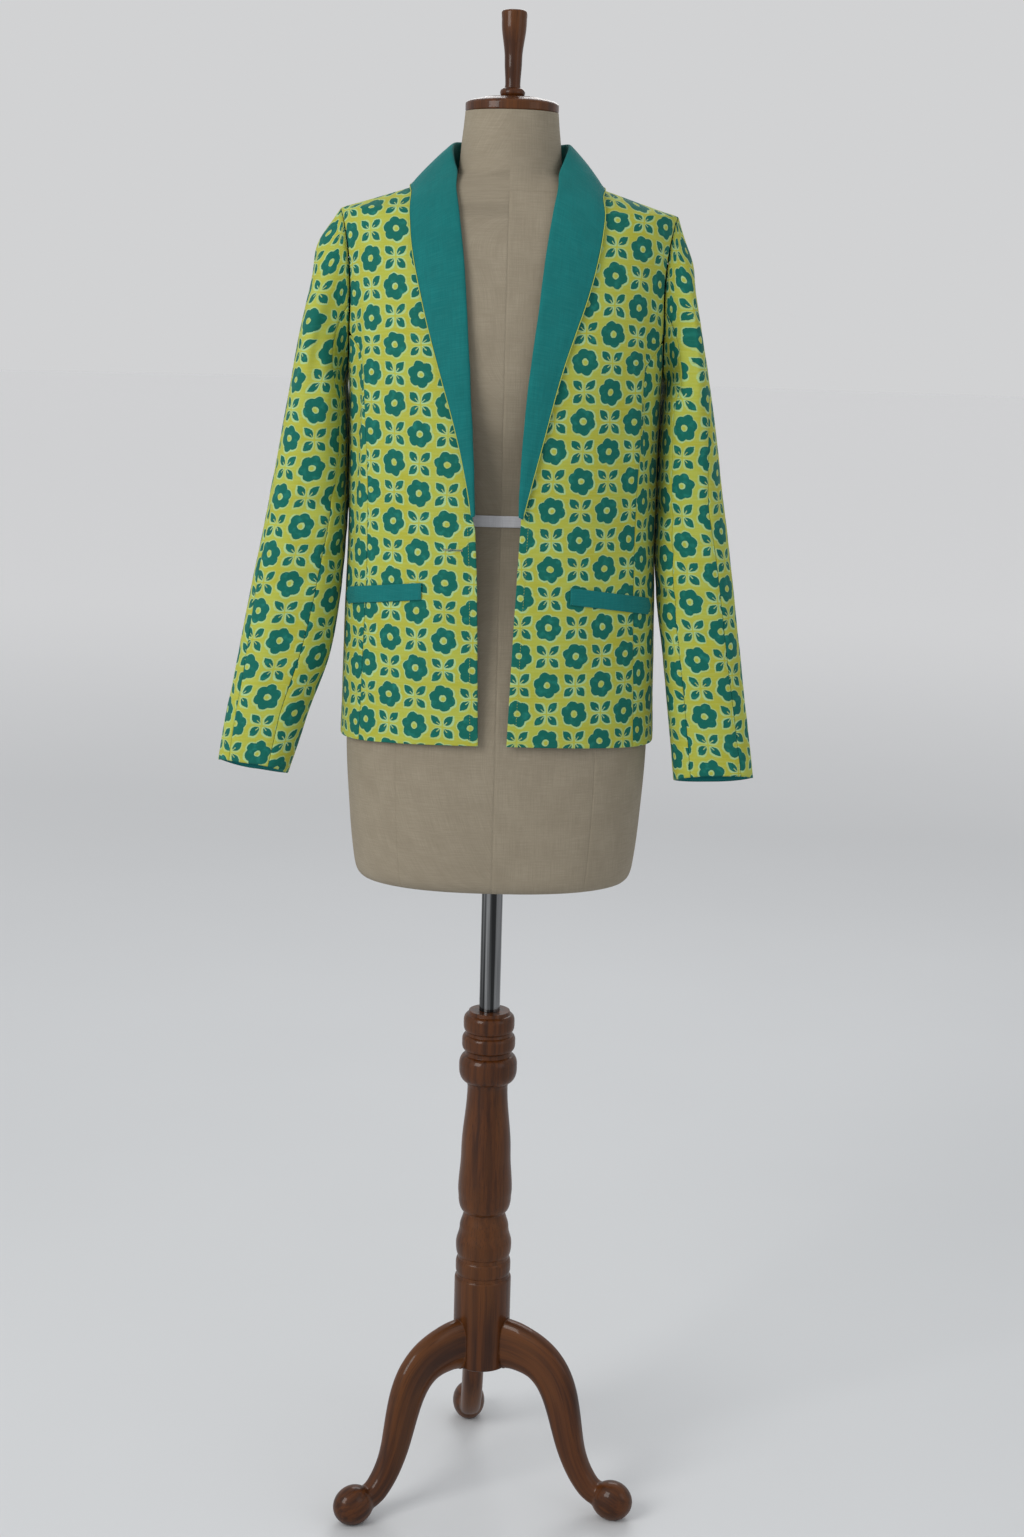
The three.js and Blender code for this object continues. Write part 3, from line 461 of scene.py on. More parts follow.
def new_material(name, roughness, sheen=0.0, coat=0.0, metallic=0.0, gloss=0.5):
    material = bpy.data.materials.new(name)
    material.use_nodes = True
    tree = material.node_tree
    shader = tree.nodes["Principled BSDF"]
    for label, value in {
        "Roughness": roughness, "Metallic": metallic, "Specular IOR Level": gloss,
        "Sheen Weight": sheen, "Sheen Roughness": 0.4, "Coat Weight": coat, "Coat Roughness": 0.06,
    }.items():
        shader.inputs[label].default_value = value
    return material, tree, shader


def bump(tree, shader, height, distance):
    node = put(tree, "ShaderNodeBump", {"Height": height, "Distance": distance, "Strength": 1.0})
    tree.links.new(node.outputs[0], shader.inputs["Normal"])


def cloth_coordinates(tree):
    """The flat cloth's own coordinates, in millimetres."""
    uv = put(tree, "ShaderNodeUVMap", uv_map="cloth").outputs[0]
    scaled = times(tree, uv, (UV_UNIT, UV_UNIT, 0))
    parts = put(tree, "ShaderNodeSeparateXYZ", {0: scaled})
    return scaled, parts.outputs[0], parts.outputs[1]


def plain_weave(tree, x, y, pitch):
    """Warp and weft threads that pass over and under each other."""
    across = calc(tree, "SINE", calc(tree, "MULTIPLY", x, math.pi / pitch))
    along = calc(tree, "SINE", calc(tree, "MULTIPLY", y, math.pi / pitch))
    return calc(tree, "ABSOLUTE", calc(tree, "MULTIPLY", across, along))


print("node helpers ready")

# %% [markdown]
# The motif is a signed distance in millimetres, positive inside the ink. One scalloped rosette and
# one sprig of four leaves stand in each cell of a lattice turned by 45 degrees, because a block is
# pressed again and again in such a lattice. It is a plain pattern of a kind that is common.

# %% The block-print motif
CELL, DIAGONAL = 46.0, 0.70711
PETALS, PETAL_RISE, ROSETTE, EYE = 6, 2.6, 12.6, 3.9
LEAF_MIDDLE, LEAF_REACH, LEAF_HALF, VEIN_HALF, VEIN_FOOT = 10.4, 7.4, 4.3, 0.45, 8.4

motif = bpy.data.node_groups.new("block_motif", "ShaderNodeTree")
for label in ("x", "y"):
    motif.interface.new_socket(label, in_out="INPUT", socket_type="NodeSocketFloat")
motif.interface.new_socket("inside", in_out="OUTPUT", socket_type="NodeSocketFloat")
entry, result = motif.nodes.new("NodeGroupInput"), motif.nodes.new("NodeGroupOutput")


def build_motif(t, x, y):
    half = CELL / 2
    u = calc(t, "MULTIPLY", calc(t, "ADD", x, y), DIAGONAL)
    v = calc(t, "MULTIPLY", calc(t, "SUBTRACT", y, x), DIAGONAL)
    a, b = (calc(t, "WRAP", w, half, -half) for w in (u, v))
    squares = calc(t, "ADD", calc(t, "MULTIPLY", a, a), calc(t, "MULTIPLY", b, b))
    radius = calc(t, "SQRT", squares)
    angle = calc(t, "ARCTAN2", b, a)
    scallop = calc(t, "ABSOLUTE", calc(t, "COSINE", calc(t, "MULTIPLY", angle, PETALS / 2)))
    rim = calc(t, "SUBTRACT", calc(t, "MULTIPLY_ADD", scallop, PETAL_RISE, ROSETTE), radius)
    rosette = calc(t, "MINIMUM", rim, calc(t, "SUBTRACT", radius, EYE))
    c, d = (
        calc(t, "ABSOLUTE", calc(t, "WRAP", calc(t, "ADD", w, half), half, -half)) for w in (u, v)
    )
    m, n = calc(t, "MAXIMUM", c, d), calc(t, "MINIMUM", c, d)
    along = calc(t, "DIVIDE", calc(t, "SUBTRACT", m, LEAF_MIDDLE), LEAF_REACH)
    width = calc(t, "MULTIPLY_ADD", calc(t, "MULTIPLY", along, along), -LEAF_HALF, LEAF_HALF)
    vein = calc(t, "MAXIMUM", calc(t, "SUBTRACT", n, VEIN_HALF), calc(t, "SUBTRACT", m, VEIN_FOOT))
    leaf = calc(t, "MINIMUM", calc(t, "SUBTRACT", width, n), vein)
    return calc(t, "MAXIMUM", rosette, calc(t, "MULTIPLY", leaf, 0.8))


motif.links.new(build_motif(motif, entry.outputs[0], entry.outputs[1]), result.inputs[0])
print("motif nodes:", len(motif.nodes))

# %% [markdown]
# Cotton in three finishes: the print, the plain teal of the collar and welts, and the lining. The
# ink shakes a little from cell to cell, as a hand-pressed block does, and it is darker at its rim,
# where the block squeezes it out. Linen, edging and tape are plain weaves in their own colours.

# %% Cotton
TEAL_DARK, TEAL = (0.001, 0.08, 0.062, 1), (0.003, 0.12, 0.092, 1)
TEAL_LIGHT, MINT = (0.014, 0.19, 0.15, 1), (0.36, 0.55, 0.27, 1)
LIME, LIME_WARM = (0.385, 0.425, 0.06, 1), (0.385, 0.385, 0.038, 1)
LIME_PALE = (0.45, 0.5, 0.12, 1)
SHAKE, ROUGH_EDGE = 1.7, 0.65  # millimetres to each side
HALO_X, HALO_Y = 0.5, 0.45


def print_cotton():
    """Teal ink on lime cotton, with slubs, a rough edge and a pale halo."""
    material, t, shader = new_material("print_cotton", 0.86, sheen=0.05, gloss=0.25)
    flat, x, y = cloth_coordinates(t)
    shake = put(t, "ShaderNodeSeparateXYZ", {0: noise(t, flat, 0.085, 2.0, color=True)})
    x2, y2 = (
        calc(t, "ADD", along, calc(t, "MULTIPLY_ADD", part, 2 * SHAKE, -SHAKE))
        for along, part in zip((x, y), shake.outputs)
    )
    ink = put(t, "ShaderNodeGroup", {0: x2, 1: y2}, node_tree=motif).outputs[0]
    shifted = {0: calc(t, "SUBTRACT", x2, HALO_X), 1: calc(t, "ADD", y2, HALO_Y)}
    halo = put(t, "ShaderNodeGroup", shifted, node_tree=motif).outputs[0]
    rough = calc(t, "MULTIPLY_ADD", noise(t, flat, 0.9, 3.0), 2 * ROUGH_EDGE, -ROUGH_EDGE)
    inside = ease(t, calc(t, "ADD", ink, rough), -0.25, 0.3)
    beside = ease(t, calc(t, "ADD", halo, rough), -2.0, -1.1)
    patchy = ease(t, noise(t, flat, 0.05, 3.0), 0.36, 0.62)
    beside = calc(t, "MULTIPLY", beside, calc(t, "MULTIPLY_ADD", patchy, 0.5, 0.45))
    cloudy = ease(t, noise(t, flat, 0.022, 3.0), 0.35, 0.68)
    slub = ease(t, noise(t, flat, 0.5, 3.0, stretch=(0.06, 1, 1)), 0.35, 0.75)
    ground = blend_color(t, cloudy, LIME, LIME_WARM)
    ground = blend_color(t, calc(t, "MULTIPLY", slub, 0.35), ground, LIME_PALE)
    worn = ease(t, noise(t, flat, 0.11, 4.0), 0.5, 0.74)
    teal = blend_color(t, calc(t, "MULTIPLY", worn, 0.75), TEAL, TEAL_LIGHT)
    rim = ease(t, ink, 0.0, 1.6, 0.5, 0.0)
    teal = blend_color(t, rim, teal, TEAL_DARK)
    color = blend_color(t, beside, ground, MINT)
    color = blend_color(t, inside, color, teal)
    t.links.new(color, shader.inputs["Base Color"])
    weave = plain_weave(t, x, y, 0.62)
    height = calc(t, "MULTIPLY_ADD", slub, 0.6, calc(t, "MULTIPLY", weave, 0.7))
    bump(t, shader, height, 0.00009)
    t.links.new(ease(t, slub, 0, 1, 0.9, 0.8), shader.inputs["Roughness"])
    return material


def plain_cotton(name, dark, middle, light, pitch=0.55, sheen=0.06, depth=0.0001):
    material, t, shader = new_material(name, 0.85, sheen=sheen, gloss=0.25)
    flat, x, y = cloth_coordinates(t)
    weft = ease(t, noise(t, flat, 0.9, 3.0, stretch=(0.05, 1, 1)), 0.3, 0.72)
    warp = ease(t, noise(t, flat, 0.9, 3.0, stretch=(1, 0.04, 1)), 0.3, 0.72)
    cloudy = ease(t, noise(t, flat, 0.03, 3.0), 0.3, 0.7)
    color = blend_color(t, calc(t, "MULTIPLY", weft, 0.6), middle, light)
    color = blend_color(t, calc(t, "MULTIPLY", warp, 0.35), color, dark)
    color = blend_color(t, calc(t, "MULTIPLY", cloudy, 0.3), color, dark)
    t.links.new(color, shader.inputs["Base Color"])
    weave = plain_weave(t, x, y, pitch)
    height = calc(t, "MULTIPLY_ADD", weft, 0.7, calc(t, "MULTIPLY_ADD", warp, 0.4, weave))
    bump(t, shader, height, depth)
    t.links.new(ease(t, weft, 0, 1, 0.88, 0.78), shader.inputs["Roughness"])
    return material


mat_print = print_cotton()
mat_teal = plain_cotton(
    "teal_cotton", (0.002, 0.115, 0.113, 1), (0.003, 0.16, 0.158, 1), (0.007, 0.2, 0.192, 1)
)
mat_lining = plain_cotton(
    "teal_lining", (0.004, 0.08, 0.08, 1), (0.006, 0.13, 0.13, 1), (0.01, 0.17, 0.165, 1), sheen=0.05
)
mat_edge = plain_cotton(
    "lime_edging", (0.3, 0.36, 0.06, 1), (0.42, 0.47, 0.09, 1), (0.5, 0.55, 0.14, 1)
)
mat_linen = plain_cotton(
    "form_linen", (0.215, 0.18, 0.128, 1), (0.29, 0.248, 0.182, 1), (0.345, 0.3, 0.225, 1),
    pitch=0.85, sheen=0.05, depth=0.00013,
)
mat_tape = plain_cotton(
    "satin_tape", (0.45, 0.45, 0.47, 1), (0.62, 0.62, 0.65, 1), (0.74, 0.74, 0.76, 1),
    pitch=0.5, sheen=0.0, depth=0.00005,
)
mat_tape.node_tree.nodes["Principled BSDF"].inputs["Coat Weight"].default_value = 0.35
print("cotton, linen and tape ready")

# %% [markdown]
# The stand is turned and carved from stained wood under varnish, so the figure has to run with each
# piece. It comes from the "grain" attribute, whose Z runs along the turned axis or the leg's line.
# The pole is chromed tube with the faint marks that drawing leaves along it. Dark upright streaks are
# painted on it as reflections.

# %% Wood, chrome and thread
WOOD_PORES, WOOD_DARK = (0.018, 0.0045, 0.001, 1), (0.036, 0.0095, 0.0015, 1)
WOOD, WOOD_LIGHT = (0.082, 0.023, 0.0036, 1), (0.125, 0.04, 0.0062, 1)
CHROME, CHROME_DULL = (0.26, 0.263, 0.268, 1), (0.15, 0.152, 0.155, 1)
# The darkest chrome colour is a painted reflection of dark surroundings
CHROME_PAINTED_REFLECTION = (0.035, 0.036, 0.037, 1)


def varnished_wood():
    material, t, shader = new_material("varnished_wood", 0.45, coat=0.32, gloss=0.14)
    grain = put(t, "ShaderNodeAttribute", attribute_name="grain").outputs["Vector"]
    bend = noise(t, grain, 9.0, 2.0, stretch=(1, 1, 0.25), color=True)
    inputs = {0: bend, 1: (0.012, 0.012, 0.012), 2: grain}
    bent = put(t, "ShaderNodeVectorMath", inputs, operation="MULTIPLY_ADD").outputs[0]
    rings = noise(t, bent, 150.0, 4.0, stretch=(1, 1, 0.035))
    fibres = noise(t, grain, 900.0, 3.0, stretch=(1, 1, 0.02))
    broad = noise(t, grain, 22.0, 2.0, stretch=(1, 1, 0.3))
    color = blend_color(t, ease(t, rings, 0.36, 0.64), WOOD_DARK, WOOD)
    color = blend_color(t, calc(t, "MULTIPLY", ease(t, broad, 0.4, 0.68), 0.6), color, WOOD_LIGHT)
    color = blend_color(t, calc(t, "MULTIPLY", ease(t, fibres, 0.52, 0.7), 0.45), color, WOOD_PORES)
    t.links.new(color, shader.inputs["Base Color"])
    bump(t, shader, calc(t, "MULTIPLY_ADD", rings, 0.5, fibres), 0.00006)
    return material


def chromed():
    material, t, shader = new_material("chrome_tube", 0.2, metallic=1.0)
    place = put(t, "ShaderNodeTexCoord").outputs["Object"]
    marks = noise(t, place, 700.0, 2.0, stretch=(1, 1, 0.01))
    cloudy = noise(t, place, 30.0, 2.0)
    # Dark upright streaks painted on the chrome as reflections of dark surroundings
    painted_reflection_streaks = noise(t, place, 150.0, 1.0, stretch=(1, 1, 0.004))
    color = blend_color(t, ease(t, marks, 0.4, 0.7), CHROME, CHROME_DULL)
    color = blend_color(t, ease(t, painted_reflection_streaks, 0.44, 0.56), CHROME_PAINTED_REFLECTION, color)
    t.links.new(color, shader.inputs["Base Color"])
    t.links.new(ease(t, cloudy, 0.3, 0.7, 0.12, 0.24), shader.inputs["Roughness"])
    bump(t, shader, marks, 0.00002)
    return material


def thread(name, color, pale):
    """Twisted sewing thread."""
    material, t, shader = new_material(name, 0.7, sheen=0.2)
    place = put(t, "ShaderNodeTexCoord").outputs["Object"]
    twist = noise(t, place, 2600.0, 2.0)
    t.links.new(blend_color(t, ease(t, twist, 0.35, 0.65), color, pale), shader.inputs["Base Color"])
    bump(t, shader, twist, 0.0001)
    return material


mat_wood = varnished_wood()
mat_chrome = chromed()
mat_thread_teal = thread("teal_thread", (0.004, 0.12, 0.11, 1), (0.012, 0.2, 0.18, 1))
mat_thread_lime = thread("lime_thread", (0.4, 0.42, 0.06, 1), (0.55, 0.56, 0.14, 1))
mat_thread_ecru = thread("ecru_thread", (0.42, 0.4, 0.3, 1), (0.55, 0.53, 0.42, 1))
print("materials:", len(bpy.data.materials))

# %% [markdown]
# ## Fronts, side fronts and back
# Each side of the blazer is cut as a front and a side front, joined by a princess seam that shapes
# it to the form, and the back is one piece. Rows run from the hem to the armhole and over the
# shoulder. The armhole is an egg-shaped loop, and the fronts end under the collar's roll line. All
# pieces lie on the same sections, so they meet at their seams with a gap of 0.3 mm.

# %% Armhole, edges and hem
WALL, HALF_GAP = 1.5, 0.15
HEM_FRONT, HEM_SIDE, HEM_BACK = 966, 958, 955
UNDERARM, SHOULDER, SIDE_NECK = 1375, 1555, 1594
ARMHOLE_FRONT, ARMHOLE_BACK = 39, 66  # its reach before and behind the axis
PRINCESS_TOP = 120  # degrees round the armhole
NECK_DROP, NECK_CURVE = 14, 1.4  # of the neckline behind
BREAK, FOLD_START, FRONT_TOP = 1222, 1209, 1585  # where the lapel starts to turn and ends
UNDER_ROLL = 2.6  # how far the front reaches under the roll line
TURN_UP = 31  # the hem's second layer
LOWER_ROWS, ROW_STEP, FIRST_ANGLE = 72, 4, 176
COTTON, TEAL_CLOTH = [mat_print, mat_lining], [mat_teal, mat_teal]


def armhole_z(angle):
    """Height of the armhole: 0 is its top, 90 its front and 180 the underarm."""
    return (SHOULDER + UNDERARM) / 2 + (SHOULDER - UNDERARM) / 2 * np.cos(np.radians(angle))


def armhole_turn(angle):
    s = np.sin(np.radians(angle))
    return turn_at_depth(-s * np.where(s > 0, ARMHOLE_FRONT, ARMHOLE_BACK), armhole_z(angle))


right_edge = smooth_curve([955, 1087, 1150, 1209], [19.4, 23, 25, 28.3])
left_edge = smooth_curve([955, 1087, 1209], [12, 16.5, 21.5])
princess_end = torso.at(armhole_turn(PRINCESS_TOP), armhole_z(PRINCESS_TOP))
princess = smooth_curve(
    [950, 1060, 1160, 1250, 1324, 1385, float(princess_end[2])],
    [158, 154.5, 151, 150, 153, 160, float(princess_end[0])],
)
# Height and half width of the roll line, then of the collar's edge
COLLAR_FRONT = {
    -1: [
        (1224, 29, 1222, 32.5), (1245, 29.9, 1242, 35.2), (1285, 31.9, 1281, 43.2),
        (1330, 34.7, 1326, 54.2), (1380, 38.2, 1374, 68.8), (1430, 41.9, 1421, 82.8),
        (1480, 46.2, 1466, 94.4), (1524, 50.4, 1503, 103), (1560, 54.2, 1529, 107),
        (1585, 57.3, 1549, 108.3),
    ],
    1: [
        (1224, 19.6, 1222, 23.6), (1245, 19.9, 1242, 28.2), (1285, 21.1, 1281, 37.7),
        (1330, 23.4, 1326, 48.4), (1380, 28, 1374, 59.6), (1430, 34, 1421, 74.6),
        (1480, 39.3, 1466, 89.6), (1524, 43.5, 1503, 98.4), (1560, 47.7, 1529, 103),
        (1585, 52.4, 1549, 105),
    ],
}
# Turn and height of the roll line, then of the collar's edge
BEHIND_NECK = [
    (114, 1634, 117, 1577), (136, 1634, 140, 1566), (159, 1633, 161, 1558), (180, 1632, 180, 1555)
]
COLLAR_NECK = {
    -1: [(58, 1599, 48.7, 1569.6), (74, 1616, 66, 1577), (95, 1630, 92, 1581), *BEHIND_NECK],
    1: [(53, 1601, 45.4, 1569.6), (70, 1622, 64, 1578), (95, 1633, 92, 1583), *BEHIND_NECK],
}
roll_widths = {side: curves_of(rows)[0] for side, rows in COLLAR_FRONT.items()}


def front_edge_turn(z, side):
    """The open edge: free below the lapel, and under the roll line above."""
    below = left_edge if side > 0 else right_edge
    roll_width = roll_widths[side]
    s = np.clip((z - FOLD_START) / (BREAK - FOLD_START), 0, 1)
    edge = turn_at_width(lerp(below(z), roll_width(z) + UNDER_ROLL, s), z)
    low = turn_at_width(roll_width(FRONT_TOP) + UNDER_ROLL, FRONT_TOP)
    above = lerp(low, COLLAR_NECK[side][0][0] + 4, (z - FRONT_TOP) / 9)
    return np.where(z > FRONT_TOP, above, edge)


def hem_height(turn):
    c = np.cos(np.radians(turn))
    return lerp(HEM_SIDE, np.where(c > 0, HEM_FRONT, HEM_BACK), c * c)


def neckline(turn):
    return SIDE_NECK - NECK_DROP * np.maximum(0, -np.cos(np.radians(turn))) ** NECK_CURVE


print("armhole from", UNDERARM, "to", SHOULDER, "mm; lapel turns at", BREAK, "mm")

# %% [markdown]
# Cut edges are not level: the hem dips behind, the armhole is a loop and the shoulder slopes. The
# rows of points follow them, so that no edge has steps. The flat coordinates are lengths measured
# on the surface, as a tape measure would give them.

# %% Rows and flat coordinates
class Rows:
    """Rows of the body, each with its nominal height and how it bends round the body."""

    def __init__(self, last=0, shoulder=16):
        low = np.concatenate([[0, 0.0015, 0.004], np.linspace(0, 1, LOWER_ROWS)[1:]])
        angles = np.arange(FIRST_ANGLE, last - 1e-6, -ROW_STEP)
        top = np.linspace(0, 1, shoulder + 1)[1:]
        self.share = np.concatenate([low, angles * 0.0, top])
        self.angle = np.concatenate([low * 0 - 1, angles, top * 0 - 1])
        self.kind = np.repeat([0, 1, 2], [len(low), len(angles), len(top)])
        self.nominal = np.concatenate([
            lerp(HEM_FRONT, UNDERARM, low), armhole_z(angles), lerp(SHOULDER, SIDE_NECK, top)
        ])

    def height(self, turn):
        share, kind, angle = (v[:, None] for v in (self.share, self.kind, self.angle))
        low = lerp(hem_height(turn), UNDERARM, share)
        top = lerp(SHOULDER, neckline(turn), share)
        return np.where(kind == 0, low, np.where(kind == 1, armhole_z(angle), top))


def spread_columns(count, edge=0.008):
    """Even shares across a piece, with one more close to each edge for the softened rim."""
    return np.concatenate([[0, edge], np.linspace(0, 1, count)[1:-1], [1 - edge, 1]])


def girth(start, turn, z):
    """Distance along the section from one turn to another."""
    steps = np.linspace(0, 1, 25)
    t = start + (turn - start)[..., None] * steps
    points = torso.at(t, np.broadcast_to(z[..., None], t.shape))
    return np.linalg.norm(np.diff(points, axis=-2), axis=-1).sum(-1) * np.sign(turn - start)


def flat_body(turn, z, rows, start):
    """Flat-cloth coordinates: round the body from a turn, and up it from the underarm."""
    u = girth(start, turn, z)
    v = distance_run(torso.at(turn, z)[..., 1:], 0)
    level = int(np.argmin(np.abs(rows.nominal - UNDERARM)))
    return np.stack([u, v - v[level]], -1)


print("rows of a front:", len(Rows().share), "rows of a side front:", len(Rows(123, 0).share))

# %% [markdown]
# Each piece is the part of the surface between two seams. Beside a sewn edge it rises a little over
# its allowance, and at the hem over the turn-up, because there the cloth is double.

# %% Pieces of the body
def body_piece(name, rows, edges, count, start, offset, seed, sewn=(True, True)):
    first, last = edges(rows)
    turn = lerp(first[:, None], last[:, None], spread_columns(count)[None, :])
    z = rows.height(turn)
    flat = flat_body(turn, z, rows, start)
    u, v = flat[..., 0], flat[..., 1]
    detail = 0.5 * ripple(u, v, seed, 95) + 0.25 * ripple(u, v, seed + 1, 34)
    for edge, is_sewn in zip((u[:, :1], u[:, -1:]), sewn):
        if is_sewn:
            distance = np.abs(u - edge)
            detail = detail + seam_pucker(distance, v, seed + 2)
            detail = detail + 0.35 * np.exp(-(((distance - 7) / 4) ** 2))
    above_hem = z - hem_height(turn)
    detail = detail + 0.3 * (1 - smooth_step((above_hem - TURN_UP) / 3)) - 0.3
    surface = lambda out: cloth(turn, z, out + detail)
    uv = flat + np.array(offset)
    piece = shell(name + "_cloth", surface, turn.shape, uv, COTTON, WALL)
    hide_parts(name)
    return piece, flat


def front_edges(side):
    def edges(rows):
        z = rows.nominal
        outer = turn_at_width(princess(z), z)
        on_armhole = (rows.kind == 1) & (rows.angle <= PRINCESS_TOP)
        outer = np.where(on_armhole, armhole_turn(rows.angle), outer)
        outer = np.where(rows.kind == 2, 90, outer)
        return side * front_edge_turn(z, side), side * shift_turn(outer, z, -HALF_GAP)

    return edges


def side_front_edges(side):
    def edges(rows):
        z = rows.nominal
        at_side = np.where(rows.kind == 1, armhole_turn(rows.angle), 90)
        seam = turn_at_width(princess(z), z)
        return side * shift_turn(seam, z, HALF_GAP), side * shift_turn(at_side, z, -HALF_GAP)

    return edges


def back_edges(rows):
    turn = np.where(rows.kind == 1, armhole_turn(360 - rows.angle), 90)
    edge = shift_turn(turn, rows.nominal, HALF_GAP)
    return edge, 360 - edge


body = {}
for word, side, offset in (("left", 1, (9, 13)), ("right", -1, (-4, 31))):
    body[f"front_{word}"] = body_piece(
        f"front_{word}", Rows(), front_edges(side), 44, 0.0, offset, 11 + side, (False, True)
    )
    body[f"side_front_{word}"] = body_piece(
        f"side_front_{word}", Rows(last=123, shoulder=0), side_front_edges(side), 14, 0.0,
        (17 * side, 5), 21 + side,
    )
body["back"] = body_piece("back", Rows(), back_edges, 104, 180.0, (6, 22), 31)
print("body pieces:", sorted(body))

# %% [markdown]
# ## Sleeves
# A sleeve is cut in two pieces, so that it can bend at the elbow, and its rounded head is eased
# into the armhole. Here each sleeve is one surface: a head that leaves the armhole, then sections
# down to the cuff. The upper and the under piece are parts of it, so they meet exactly at the hind
# and the front seam. Folds sit at the elbow and the armhole, where the hanging cloth bends. The two
# sleeves of the photo hang differently, so each has its own table.

# %% Tables of the sleeves
# Sections: height, how far its outer and inner side stand from the axis, middle of its depth, half
# its depth. Seams: height, angle of the hind and of the front seam. Folds: angle, middle height,
# degrees wide, millimetres tall, depth, lean. Cuff: middle height, then how much higher its outer
# side and its front are. Head: the way in which the top of the head leaves the armhole.
SLEEVES = {
    "right": {
        "side": -1, "head": (0.48, 0, -0.88), "cuff": (919.3, 7, 10.1),
        "sections": [
            (1340, 248, 180.4, -2, 63), (1287, 257, 179.4, -7, 59), (1242, 265, 179.2, -12, 55),
            (1201, 272, 179.3, -16, 52), (1131, 286, 183, -22, 48), (1084, 294.5, 188.5, -26, 45),
            (1047, 301, 196, -30, 43), (1015, 307, 207, -33, 42), (985, 313, 218, -36, 41),
            (955, 318, 227, -39, 40), (900, 326, 245, -44, 38),
        ],
        "seams": [
            (1555, -60, 100), (1450, -30, 122), (1400, -8, 136), (1345, 12, 145), (1300, 22, 144),
            (1200, 30, 124), (1100, 38, 112), (1000, 47, 106), (900, 56, 112),
        ],
        "folds": [
            (120, 1230, 40, 9, -3.5, 0.25), (150, 1175, 38, 8, -3, 0.2), (60, 1205, 34, 8, -2.5, -0.3),
            (95, 1140, 36, 9, -3, 0.2), (250, 1215, 40, 10, -3, 0.1), (90, 1400, 14, 60, -4, 0),
            (265, 1400, 14, 60, -3.5, 0), (75, 1060, 12, 90, 2, 0), (0, 1522, 60, 30, 9, 0),
            (214, 1262, 26, 95, 7, 0),
        ],
    },
    "left": {
        "side": 1, "head": (0.25, 0, -0.97), "cuff": (918.8, 2.5, 10.1),
        "sections": [
            (1340, 238, 180, -2, 66), (1298, 245, 179.5, -6, 62), (1258, 250.5, 179.2, -10, 58),
            (1229, 255, 179.2, -13, 56), (1188, 261.6, 179.3, -17, 53), (1155, 266.5, 180.2, -20, 51),
            (1110, 273, 183.5, -24, 48), (1071, 278.5, 188.5, -28, 46), (1037, 283, 193, -31, 44),
            (1003, 288, 197, -35, 41), (962, 294, 202, -39, 38), (900, 303, 209, -45, 35),
        ],
        "seams": [
            (1555, -60, 100), (1460, -22, 116), (1395, 20, 126), (1330, 56, 129), (1240, 68, 128),
            (1170, 61, 126), (1080, 58, 124), (1000, 56, 122), (900, 52, 122),
        ],
        "folds": [
            (130, 1380, 26, 26, -6, 0.3), (150, 1225, 36, 9, -3.5, 0.2), (110, 1185, 34, 8, -2.5, -0.2),
            (140, 1130, 38, 9, -3, 0.2), (95, 1085, 30, 8, -2, -0.2), (255, 1210, 40, 10, -3, 0.1),
            (90, 1400, 14, 60, -4, 0), (115, 1150, 12, 150, -3, 0), (0, 1508, 60, 34, 6, 0),
            (214, 1240, 26, 110, 9, 0),
        ],
    },
}
HEAD_SHARE, SLEEVE_TOP, HEAD_GAP = 0.32, 1340, 0.5
RING_SQUARE = 2.5
TO_LEFT = {1: np.array([1, 1, 1]), -1: np.array([-1, 1, 1])}
print("sleeve sections:", {word: len(shape["sections"]) for word, shape in SLEEVES.items()})

# %% [markdown]
# A sleeve head is fuller than the armhole, and leaves it outwards before it falls. So the head is a
# curve from the armhole's edge to the first section, with a given direction at both ends.

